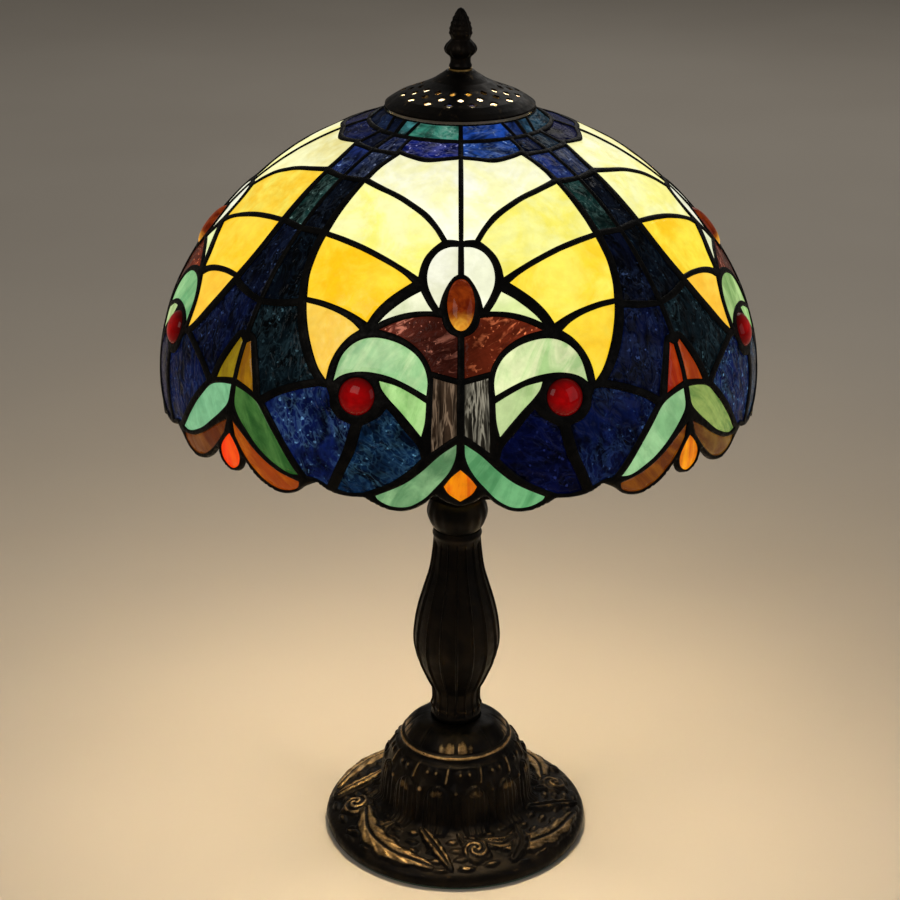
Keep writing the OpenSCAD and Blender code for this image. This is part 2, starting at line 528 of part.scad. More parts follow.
base_casting();
base_brim();
base_felt();
base_weight();
base_washer();
base_nut();
cord_bushing();
lamp_pipe();
stem_casting();
neck_knob();
harp_saddle();
harp_ferrule_left();
harp_ferrule_right();
harp_bow();
harp_stud();
seat_washer();
socket_cap();
socket_shell();
socket_liner();
socket_core();
socket_thread();
socket_contact();
bulb_glass();
bulb_cap();
bulb_insulator();
bulb_contact();
bulb_mount();
shade_ring();
solder_net_1();
solder_net_2();
solder_net_3();
solder_net_4();
glass_fan_top();
glass_fan_upper();
glass_fan_middle();
glass_fan_tip();
glass_white();
glass_oval_gem();
glass_wing();
glass_trunk();
glass_hook();
glass_hook_tail();
glass_red_gem();
glass_rim_leaf();
glass_rim_diamond();
glass_flame();
glass_corner_leaf();
glass_corner_brown();
glass_corner_drop();
glass_band();
glass_lower();
glass_crown();
vent_cap();
finial_washer();
finial();
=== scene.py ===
"""Looks of the stained glass table lamp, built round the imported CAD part."""
import math
import random

import bpy
import numpy as np
from mathutils import Matrix, Vector, noise
from mathutils.geometry import delaunay_2d_cdt
from mathutils.kdtree import KDTree


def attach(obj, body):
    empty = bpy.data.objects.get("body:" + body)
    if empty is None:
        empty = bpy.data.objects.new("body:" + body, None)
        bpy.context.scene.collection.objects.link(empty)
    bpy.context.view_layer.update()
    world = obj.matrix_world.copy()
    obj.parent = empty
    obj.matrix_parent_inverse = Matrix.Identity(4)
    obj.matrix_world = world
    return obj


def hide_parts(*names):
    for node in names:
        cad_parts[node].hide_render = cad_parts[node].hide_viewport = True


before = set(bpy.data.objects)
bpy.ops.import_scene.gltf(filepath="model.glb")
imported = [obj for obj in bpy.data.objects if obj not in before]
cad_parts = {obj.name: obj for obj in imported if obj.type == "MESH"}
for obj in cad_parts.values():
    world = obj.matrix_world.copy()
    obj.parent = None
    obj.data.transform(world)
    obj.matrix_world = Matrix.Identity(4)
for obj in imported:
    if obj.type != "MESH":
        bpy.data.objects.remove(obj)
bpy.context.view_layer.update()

MM = 0.001
SCENE = bpy.context.scene


# ---------- camera ----------
CAMERA_BACK, CAMERA_UP = 0.9783, 0.6415  # metres from the lamp's axis, and above the table
CAMERA_AROUND = 0.008  # radians round the lamp's axis from straight in front
CAMERA_PITCH, CAMERA_YAW, CAMERA_ROLL = 0.4018, 0.0038, 0.0053  # radians
SENSOR, LENS = 36, 80.98  # mm


def make_camera():
    pitch, yaw, roll = CAMERA_PITCH, CAMERA_YAW, CAMERA_ROLL
    level = math.cos(pitch)
    forward = Vector((math.sin(yaw) * level, math.cos(yaw) * level, -math.sin(pitch)))
    right = Vector((math.cos(yaw), -math.sin(yaw), 0))
    up = right.cross(forward)
    side = math.cos(roll) * right + math.sin(roll) * up
    top = math.cos(roll) * up - math.sin(roll) * right
    data = bpy.data.cameras.new("camera")
    data.sensor_width = SENSOR
    data.lens = LENS
    data.clip_start = 0.02
    data.clip_end = 50
    camera = bpy.data.objects.new("camera", data)
    place = Matrix((side, top, -forward)).transposed().to_4x4()
    place.translation = (-CAMERA_BACK * math.sin(CAMERA_AROUND), -CAMERA_BACK * math.cos(CAMERA_AROUND),
                         CAMERA_UP)
    camera.matrix_world = place
    SCENE.collection.objects.link(camera)
    SCENE.camera = camera


make_camera()
SCENE.view_settings.view_transform = "Standard"


# ---------- materials ----------
def linear(rgb):
    """Screen colour of 0 to 255 as linear light."""
    return [(c / 255 / 12.92 if c <= 10 else ((c / 255 + 0.055) / 1.055) ** 2.4) for c in rgb]


class Net:
    """A material and the means to add nodes to it. The named values are its shader's constants."""

    def __init__(self, name, **values):
        self.material = bpy.data.materials.new("m_" + name)
        self.material.use_nodes = True
        self.tree = self.material.node_tree
        self.shader = self.tree.nodes["Principled BSDF"]
        for key, value in values.items():
            self.shader.inputs[key.replace("_", " ")].default_value = value

    def add(self, kind, inputs=(), **settings):
        node = self.tree.nodes.new("ShaderNode" + kind)
        for key, value in settings.items():
            setattr(node, key, value)
        for key, value in dict(inputs).items():
            self.feed(node.inputs[key], value)
        return node

    def feed(self, socket, value):
        if isinstance(value, bpy.types.NodeSocket):
            self.tree.links.new(value, socket)
        else:
            socket.default_value = value

    def place(self, attribute=None, stretch=(1, 1, 1)):
        """Coordinates in metres: the object's own, or those the mesh stores as an attribute."""
        if attribute:
            out = self.add("Attribute", attribute_name=attribute).outputs["Vector"]
        else:
            out = self.add("TexCoord").outputs["Object"]
        if stretch == (1, 1, 1):
            return out
        return self.add("Mapping", {"Vector": out, "Scale": stretch}).outputs[0]

    def noise(self, at, scale, detail=3.0, rough=0.55, twist=0.0):
        values = {"Vector": at, "Scale": scale, "Detail": detail, "Roughness": rough, "Distortion": twist}
        return self.add("TexNoise", values).outputs["Fac"]

    def span(self, value, low, high, to_low=0.0, to_high=1.0):
        ends = {"Value": value, "From Min": low, "From Max": high, "To Min": to_low, "To Max": to_high}
        return self.add("MapRange", ends, interpolation_type="SMOOTHSTEP").outputs["Result"]

    def math(self, what, a, b=0.0):
        node = self.add("Math", operation=what)
        self.feed(node.inputs[0], a)
        self.feed(node.inputs[1], b)
        return node.outputs[0]

    def from_middle(self, value):
        """How far a value is from 0.5."""
        return self.math("ABSOLUTE", self.math("SUBTRACT", value, 0.5))

    def mix(self, factor, a, b, blend="MIX"):
        node = self.add("Mix", data_type="RGBA", blend_type=blend)
        self.feed(node.inputs["Factor"], factor)
        for key, value in (("A", a), ("B", b)):
            socket = [s for s in node.inputs if s.name == key and s.type == "RGBA"][0]
            if not isinstance(value, bpy.types.NodeSocket) and len(value) == 3:
                value = (*value, 1)
            self.feed(socket, value)
        return [s for s in node.outputs if s.type == "RGBA"][0]

    def scale_colour(self, colour, by):
        """Colour times a number."""
        node = self.add("VectorMath", operation="SCALE")
        self.feed(node.inputs[0], colour)
        self.feed(node.inputs["Scale"], by)
        return node.outputs[0]

    def veined(self, body, vein, amount):
        """A body colour with an amount of the vein's colour added to it."""
        return self.mix(1.0, body, self.scale_colour(vein, amount), "ADD")

    def bump(self, height, strength, distance, after=None):
        inputs = {"Height": height, "Strength": strength, "Distance": distance}
        if after is not None:
            inputs["Normal"] = after
        return self.add("Bump", inputs).outputs[0]

    def set(self, **inputs):
        """Feeds the shader's inputs, as values or as links, and gives the material."""
        for key, value in inputs.items():
            self.feed(self.shader.inputs[key.replace("_", " ")], value)
        return self.material


DARK_STYLES = ("ripple", "bright_ripple", "hammered", "streaked")
# specular level of a style; the other styles have PLAIN_GLOSS
GLOSS = {"ripple": 0.07, "bright_ripple": 0.03, "hammered": 0.07, "streaked": 0.07, "gem": 0.14}
PLAIN_GLOSS = 0.3


def glass_material(name, style):
    """Art glass with painted light: the bulb's light through it is painted as its own glow, an emission of
    its colour. Its two colours are stored in the mesh as tint and vein, its grain runs along flow.
    """
    net = Net(name, Specular_IOR_Level=GLOSS.get(style, PLAIN_GLOSS),
              Emission_Strength=1.0 if style == "opal" else 0.92)
    tint = net.add("Attribute", attribute_name="tint").outputs["Color"]
    vein = net.add("Attribute", attribute_name="vein").outputs["Color"]
    flow = net.place("flow")
    fine = net.noise(flow, 420, 3)
    if style == "opal":
        cloud = net.span(net.noise(flow, 42, 5, 0.6, 0.5), 0.36, 0.66)
        colour = net.mix(cloud, tint, vein)
        light = net.span(net.noise(flow, 190, 4, 0.6), 0.25, 0.75, 0.9, 1.05)
        waves = net.noise(flow, 75, 2, 0.5, 0.3)
        depth, rough = 0.0006, (0.12, 0.3)
    elif style == "wispy":
        long = net.place("flow", (1, 0.28, 1))
        cloud = net.span(net.noise(long, 85, 5, 0.62, 1.1), 0.36, 0.66)
        colour = net.mix(cloud, tint, vein)
        light = net.span(net.noise(flow, 150, 4, 0.6), 0.25, 0.75, 0.82, 1.1)
        waves = net.noise(long, 120, 2, 0.5, 0.4)
        depth, rough = 0.0006, (0.1, 0.26)
    elif style in ("ripple", "bright_ripple"):
        long = net.place("flow", (1, 0.6, 1))
        waves = net.noise(long, 170, 2, 0.5, 1.1)
        small = net.noise(long, 330, 1, 0.5, 0.8)
        patch = net.span(net.noise(flow, 60, 3, 0.6, 0.6), 0.36, 0.62, 0.05, 1.0)
        bright = 1.15 if style == "bright_ripple" else 1.0
        # painted glints: bright specks and lines along the ripples' crests, added to the glass's colour and
        # glow, stand in for highlights on rippled glass
        painted_glint = net.math("MULTIPLY", net.span(net.noise(flow, 430, 1, 0.5), 0.66, 0.76), 0.6)
        for line, width, weight in ((waves, 0.07, 0.11), (small, 0.06, 0.08)):
            crest = net.math("MULTIPLY", net.span(net.from_middle(line), width, 0.0), weight * bright)
            painted_glint = net.math("ADD", painted_glint, crest)
        painted_glint = net.math("MULTIPLY", patch, painted_glint)
        body = net.scale_colour(tint, net.span(net.noise(long, 115, 4, 0.6, 0.8), 0.34, 0.66, 0.2, 2.0))
        colour = net.veined(body, vein, painted_glint)
        light = net.span(waves, 0.3, 0.7, 0.65, 1.3)
        depth, rough = 0.0014, (0.10, 0.22)
    elif style == "hammered":
        long = net.place("flow", (1, 0.34, 1))
        waves = net.noise(long, 230, 3, 0.6, 1.2)
        # painted glints: specks and crests of light on the hammered glass, added to its colour and glow
        crest = net.span(waves, 0.55, 0.66)
        patch = net.span(net.noise(flow, 120, 3, 0.6, 0.8), 0.36, 0.56)
        dots = net.span(net.noise(flow, 560, 1, 0.5), 0.66, 0.76)
        painted_glint = net.math("MULTIPLY", patch, net.math("ADD", net.math("MULTIPLY", crest, 0.5),
                                                        net.math("MULTIPLY", dots, 0.75)))
        body = net.scale_colour(tint, net.span(net.noise(long, 110, 4, 0.6, 0.8), 0.32, 0.68, 0.55, 1.55))
        colour = net.veined(body, vein, painted_glint)
        light = net.span(fine, 0.3, 0.7, 0.85, 1.12)
        depth, rough = 0.0009, (0.1, 0.22)
    elif style == "streaked":
        long = net.place("flow", (1, 0.12, 1))
        waves = net.noise(long, 420, 3, 0.55, 0.5)
        thread = net.span(net.from_middle(waves), 0.075, 0.01)
        sheet = net.span(net.noise(long, 170, 3, 0.6, 0.4), 0.40, 0.62, 0.1, 1.0)
        body = net.scale_colour(tint, net.span(net.noise(long, 240, 3), 0.32, 0.68, 0.35, 1.9))
        colour = net.veined(body, vein, net.math("MULTIPLY", thread, sheet))
        light = net.span(net.noise(flow, 150, 3), 0.3, 0.7, 0.8, 1.15)
        depth, rough = 0.0007, (0.1, 0.22)
    else:
        cloud = net.span(net.noise(flow, 160, 3, 0.6, 0.8), 0.3, 0.7)
        colour = net.mix(cloud, tint, vein)
        light = net.span(net.noise(flow, 330, 2), 0.3, 0.7, 0.88, 1.1)
        waves = net.noise(flow, 60, 2)
        depth, rough = 0.0002, (0.04, 0.08)
    if style == "gem":
        net.set(Coat_Weight=0.1, Coat_Roughness=0.03)
    body = net.scale_colour(colour, 0.2 if style in (*DARK_STYLES, "gem") else 0.30)
    # painted light: the glass glows with its own colour, standing in for the bulb's light shining through it
    return net.set(Base_Color=body, Emission_Color=net.scale_colour(colour, light),
                   Roughness=net.span(fine, 0.3, 0.7, *rough),
                   Normal=net.bump(fine, 0.12, 0.0003, net.bump(waves, 1.0, depth)))


def bronze_material(name="antique_bronze", stored=True):
    """Near black bronze rubbed to gold in places: where the mesh's stored values say so, or at random. The
    stored gold is partly painted highlight, on the crests and tips that the light catches.
    """
    net = Net(name, Metallic=0.85, Specular_IOR_Level=0.25)
    at = net.place()
    patina = net.span(net.noise(at, 60, 5, 0.6, 0.4), 0.35, 0.7)
    dark = net.mix(patina, (0.004, 0.0036, 0.0036), (0.014, 0.0105, 0.0075))
    wear = net.noise(at, 140, 5, 0.65, 0.3)
    if stored:
        rub_and_highlight = net.add("Attribute", attribute_name="rub_and_highlight").outputs["Fac"]
        uneven = net.math("MULTIPLY", net.math("SUBTRACT", wear, 0.5), 0.9)
        wear_and_highlight = net.span(net.math("ADD", rub_and_highlight, uneven), 0.38, 0.9)
    else:
        wear_and_highlight = net.span(wear, 0.56, 0.78, 0, 0.45)
    gold = net.mix(net.span(net.noise(at, 300, 3), 0.3, 0.7), (0.22, 0.135, 0.055), (0.46, 0.31, 0.145))
    net.set(Base_Color=net.mix(wear_and_highlight, dark, gold),
            Roughness=net.math("SUBTRACT", net.span(net.noise(at, 220, 4), 0.3, 0.7, 0.36, 0.56),
                               net.math("MULTIPLY", wear_and_highlight, 0.12)),
            Normal=net.bump(net.noise(at, 900, 3), 0.25, 0.0003,
                            net.bump(net.noise(at, 120, 3), 0.25, 0.0008)))
    return net.material


def metal_material(name, low, high, rough=(0.22, 0.4), scale=300, metallic=1.0, depth=0.0002):
    """A plain finish between two colours."""
    net = Net(name, Metallic=metallic)
    at = net.place()
    blotch = net.span(net.noise(at, scale * 0.2, 4, 0.6, 0.4), 0.3, 0.7)
    fine = net.noise(at, scale, 3)
    return net.set(Base_Color=net.mix(blotch, low, high), Roughness=net.span(fine, 0.3, 0.7, *rough),
                   Normal=net.bump(fine, 0.3, depth))


def solder_material():
    """Black patina over lapped solder beads: dark, a little uneven, with a soft shine on the crowns."""
    net = Net("solder", Metallic=0.7, Specular_IOR_Level=0.12)
    at = net.place()
    blotch = net.span(net.noise(at, 130, 4, 0.6, 0.5), 0.32, 0.7)
    puddle = net.noise(at, 330, 2, 0.5, 0.4)
    return net.set(Base_Color=net.mix(blotch, (0.004, 0.004, 0.004), (0.012, 0.011, 0.010)),
                   Roughness=net.span(net.noise(at, 500, 3), 0.3, 0.7, 0.42, 0.64),
                   Normal=net.bump(net.noise(at, 1500, 2), 0.12, 0.0002, net.bump(puddle, 0.5, 0.0007)))


def felt_material():
    net = Net("felt", Roughness=0.95, Sheen_Weight=0.5)
    at = net.place()
    fibre = net.noise(at, 1800, 4, 0.75, 1.5)
    return net.set(Base_Color=net.mix(net.span(fibre, 0.3, 0.7), (0.012, 0.05, 0.022), (0.03, 0.10, 0.045)),
                   Normal=net.bump(fibre, 0.8, 0.0006))


def plastic_material(name, low, high, rough=(0.35, 0.55)):
    return metal_material(name, low, high, rough, 700, 0.0, 0.0001)


def bulb_material():
    """Frosted glass, lit from within and a little dimmer at the neck."""
    net = Net("bulb", Roughness=0.35, Emission_Strength=4.0)
    at = net.place()
    height = net.add("SeparateXYZ", {"Vector": at}).outputs["Z"]
    grain = net.span(net.noise(at, 900, 3), 0.3, 0.7, 0.95, 1.03)
    lit = net.math("MULTIPLY", net.span(height, 0.255, 0.315, 0.45, 1.0), grain)
    return net.set(Base_Color=net.mix(net.noise(at, 500, 2), (0.86, 0.83, 0.76), (0.92, 0.90, 0.84)),
                   Emission_Color=net.scale_colour((1.0, 0.86, 0.62), lit),
                   Normal=net.bump(net.noise(at, 1500, 2), 0.15, 0.0001))


# ---------- meshes ----------
def new_piece(name, points, faces, body, material, nodes, stored=()):
    """An object from points in mm and faces, with stored point attributes. It stands for nodes of a body."""
    mesh = bpy.data.meshes.new(name)
    mesh.from_pydata((np.asarray(points) * MM).tolist(), [], [tuple(map(int, f)) for f in faces])
    mesh.validate()
    for key, kind, values in stored:
        layer = mesh.attributes.new(key, kind, "POINT")
        field = {"FLOAT": "value", "FLOAT_VECTOR": "vector", "FLOAT_COLOR": "color"}[kind]
        layer.data.foreach_set(field, np.asarray(values, np.float32).ravel())
    mesh.shade_smooth()
    mesh.materials.append(material)
    piece = bpy.data.objects.new(name, mesh)
    SCENE.collection.objects.link(piece)
    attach(piece, body)
    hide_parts(*nodes)


def catmull(points, steps):
    """Smooth curve through points, its last point left out."""
    p = np.asarray(points, float)
    p = np.vstack([2 * p[0] - p[1], p, 2 * p[-1] - p[-2]])
    t = np.linspace(0, 1, steps, endpoint=False)[:, None]
    return np.vstack([0.5 * (2 * b + (c - a) * t + (2 * a - 5 * b + 4 * c - d) * t ** 2
                             + (3 * b - a - 3 * c + d) * t ** 3)
                      for a, b, c, d in zip(p, p[1:], p[2:], p[3:])])


def even(points, step):
    """The same curve at even steps. Both ends are kept."""
    along = np.r_[0, np.cumsum(np.linalg.norm(np.diff(points, axis=0), axis=1))]
    count = max(1, int(round(along[-1] / step)))
    at = np.linspace(0, along[-1], count + 1)
    return np.c_[[np.interp(at, along, points[:, k]) for k in range(points.shape[1])]].T


def length(points):
    return np.linalg.norm(np.diff(points, axis=0), axis=1).sum()


def profile(points, step, smooth=True):
    """A turned piece's side at even steps, smooth or straight between its points."""
    p = np.asarray(points, float)
    if smooth:
        p = np.vstack([catmull(p, 12), p[-1]])
    return even(p, step)


def lathe_faces(rings, around, closed=False):
    """Faces between rings of points, and with closed also from the last ring back to the first."""
    faces = []
    for i in range(rings if closed else rings - 1):
        j = (i + 1) % rings
        for k in range(around):
            m = (k + 1) % around
            faces.append((i * around + k, i * around + m, j * around + m, j * around + k))
    return faces


def angles(around):
    return np.arange(around) * 2 * math.pi / around


def lathe(side, around, rise=None):
    """Points and faces of a turned surface. Its points stand out by rise, one row of values for each ring."""
    side = np.asarray(side, float)
    angle = angles(around)
    r = np.repeat(side[:, :1], around, 1)
    z = np.repeat(side[:, 1:], around, 1)
    if rise is not None:
        run = np.gradient(side, axis=0)
        run /= np.maximum(np.linalg.norm(run, axis=1, keepdims=True), 1e-9)
        r = r + rise * run[:, 1:]
        z = z - rise * run[:, :1]
    points = np.stack([r * np.sin(angle), -r * np.cos(angle), z], -1).reshape(-1, 3)
    return points, lathe_faces(len(side), around)


def cap_ends(points, faces, around):
    """Closes a turned surface at its first and last ring."""
    last = len(points) - around
    return faces + [tuple(reversed(range(around))), tuple(range(last, len(points)))]


# ---------- the dome of the shade ----------
# A place on the shade is (angle, s): degrees round from the middle of the front panel, and mm down along
# the glass from the ring where the ball slopes by TOP_SLOPE. The glass itself begins above, at TOP_EDGE.
BALL_R, BALL_Z, SKIRT_R = 157.0, 251.7, 105.0
TOP_SLOPE, SKIRT_SLOPE = math.radians(14), math.radians(64)
SKIRT_FROM = BALL_R * (SKIRT_SLOPE - TOP_SLOPE)
TOP_EDGE, GLASS = -3.2, 2.5  # s of the top edge, and how thick the glass is
# down to COLLAR_END the glass is a steeper collar under the vent cap
COLLAR_END, COLLAR_SLOPE = 6.9, math.radians(38.5)
# the collar's slope comes in upwards from EASE_END, over EASE_OVER mm
EASE_END, EASE_OVER = 7.5, 1.2


def dome(s):
    """Radius, height and slope of the glass's outer face at s."""
    s = np.asarray(s, float)
    ball = s <= SKIRT_FROM
    a = np.where(ball, TOP_SLOPE + s / BALL_R, SKIRT_SLOPE + (s - SKIRT_FROM) / SKIRT_R)
    r = np.where(ball, BALL_R * np.sin(a),
                 BALL_R * math.sin(SKIRT_SLOPE) + SKIRT_R * (np.sin(a) - math.sin(SKIRT_SLOPE)))
    z = np.where(ball, BALL_Z + BALL_R * np.cos(a),
                 BALL_Z + BALL_R * math.cos(SKIRT_SLOPE) - SKIRT_R * (math.cos(SKIRT_SLOPE) - np.cos(a)))
    end = TOP_SLOPE + COLLAR_END / BALL_R
    above = np.maximum(COLLAR_END - s, 0)
    r = np.where(above > 0, BALL_R * math.sin(end) - above * math.cos(COLLAR_SLOPE), r)
    z = np.where(above > 0, BALL_Z + BALL_R * math.cos(end) + above * math.sin(COLLAR_SLOPE), z)
    ease = np.clip((EASE_END - s) / EASE_OVER, 0, 1)
    return r, z, a + (COLLAR_SLOPE - a) * ease


def on_dome(p, out=0.0):
    """Points in mm of places on the shade, moved outwards by out."""
    r, z, a = dome(p[:, 1])
    f = np.radians(p[:, 0])
    r = r + out * np.sin(a)
    return np.c_[r * np.sin(f), -r * np.cos(f), z + out * np.cos(a)]


# a flat map of the dome that keeps angles, for laying out triangles
MAP_SCALE = 100
MAP_S = np.linspace(-4, 216, 2201)
MAP_STRETCH = 1 / dome(MAP_S)[0]
MAP_Y = np.r_[0, np.cumsum((MAP_STRETCH[1:] + MAP_STRETCH[:-1]) / 2 * np.diff(MAP_S))]


def to_map(p):
    return np.c_[np.radians(p[:, 0]), np.interp(p[:, 1], MAP_S, MAP_Y)] * MAP_SCALE


def from_map(q):
    return np.c_[np.degrees(q[:, 0] / MAP_SCALE), np.interp(q[:, 1] / MAP_SCALE, MAP_Y, MAP_S)]


def inside(loop, p):
    """Which of the places lie in the loop."""
    x, y = p[:, 0], p[:, 1]
    hit = np.zeros(len(p), bool)
    for (x1, y1), (x2, y2) in zip(loop, np.roll(loop, -1, 0)):
        if y1 != y2:
            hit ^= ((y1 > y) != (y2 > y)) & (x < (x2 - x1) * (y - y1) / (y2 - y1) + x1)
    return hit


def smooth_side(points, step):
    """Places at even steps along a smooth line on the dome."""
    p = np.array(points, float)
    if len(p) > 2:
        p = np.vstack([catmull(p, 10), p[-1]])
    flat = to_map(p)
    count = max(1, int(round(length(on_dome(p)) / step)))
    return from_map(even(flat, length(flat) / count))


def outline(sides, step):
    """A closed loop of curved sides. Each side starts at a corner and ends at the next side's first point."""
    return np.vstack([smooth_side(side + after[:1], step)[:-1]
                      for side, after in zip(sides, sides[1:] + sides[:1])])


def moved(loop, d):
    """The loop moved outwards by d mm, or inwards if d is negative."""
    r = dome(loop[:, 1])[0]
    x, y = np.radians(loop[:, 0]) * r.mean(), loop[:, 1]
    if np.sum(x * np.roll(y, -1) - y * np.roll(x, -1)) < 0:
        d = -d
    before = np.roll(loop, 1, 0)
    after = np.roll(loop, -1, 0)
    u = np.c_[np.radians(loop[:, 0] - before[:, 0]) * r, loop[:, 1] - before[:, 1]]
    v = np.c_[np.radians(after[:, 0] - loop[:, 0]) * r, after[:, 1] - loop[:, 1]]
    u /= np.linalg.norm(u, axis=1, keepdims=True)
    v /= np.linalg.norm(v, axis=1, keepdims=True)
    a = np.c_[u[:, 1], -u[:, 0]]
    b = np.c_[v[:, 1], -v[:, 0]]
    n = (a + b) / np.maximum(1 + (a * b).sum(1), 0.35)[:, None] * d
    return loop + np.c_[np.degrees(n[:, 0] / r), n[:, 1]]


def grid(low, high, step):
    """Evenly spread places between two corners."""
    rows = []
    for i, s in enumerate(np.arange(low[1], high[1], step * 0.866)):
        gap = math.degrees(step / float(dome(s)[0]))
        f = np.arange(low[0], high[0], gap) + (gap / 2 if i % 2 else 0)
        rows.append(np.c_[f, np.full(len(f), s)])
    return np.vstack(rows)


def near(points):
    """A search tree for the place nearest to a point."""
    tree = KDTree(len(points))
    for i, p in enumerate(on_dome(points)):
        tree.insert(p, i)
    tree.balance()
    return tree


def gaps(places, tree):
    """How far each place is from the nearest one in the tree, in mm."""
    return np.array([tree.find(q)[2] for q in on_dome(places)], float)


def triangles(points, counts):
    """Places and triangles. The places begin with closed loops, counts long, whose edges are kept."""
    edges, start = [], 0
    for count in counts:
        edges += [(start + k, start + (k + 1) % count) for k in range(count)]
        start += count
    out = delaunay_2d_cdt([Vector(q) for q in to_map(points)], edges, [], 0, 1e-5)
    places = from_map(np.array([v[:] for v in out[0]]))
    return places, np.array([f[:] for f in out[2]], int)


def shell(outer, inner, faces):
    """A closed thin solid: an outer and an inner skin over the same triangles, joined at every open edge."""
    n = len(outer)
    edges = {edge: None for a, b, c in faces for edge in ((a, b), (b, c), (c, a))}
    walls = [(b, a, a + n, b + n) for a, b in edges if (b, a) not in edges]
    faces = [tuple(f) for f in faces]
    return np.vstack([outer, inner]), faces + [(a + n, c + n, b + n) for a, b, c in faces] + walls


# the eight places of half a panel: turn in degrees, and whether it is mirrored
COPIES = [(turn, flip) for turn in (0, 90, 180, 270) for flip in (False, True)]


def put(p, turn, flip):
    q = p.copy()
    if flip:
        q[:, 0] *= -1
    q[:, 0] += turn
    return q


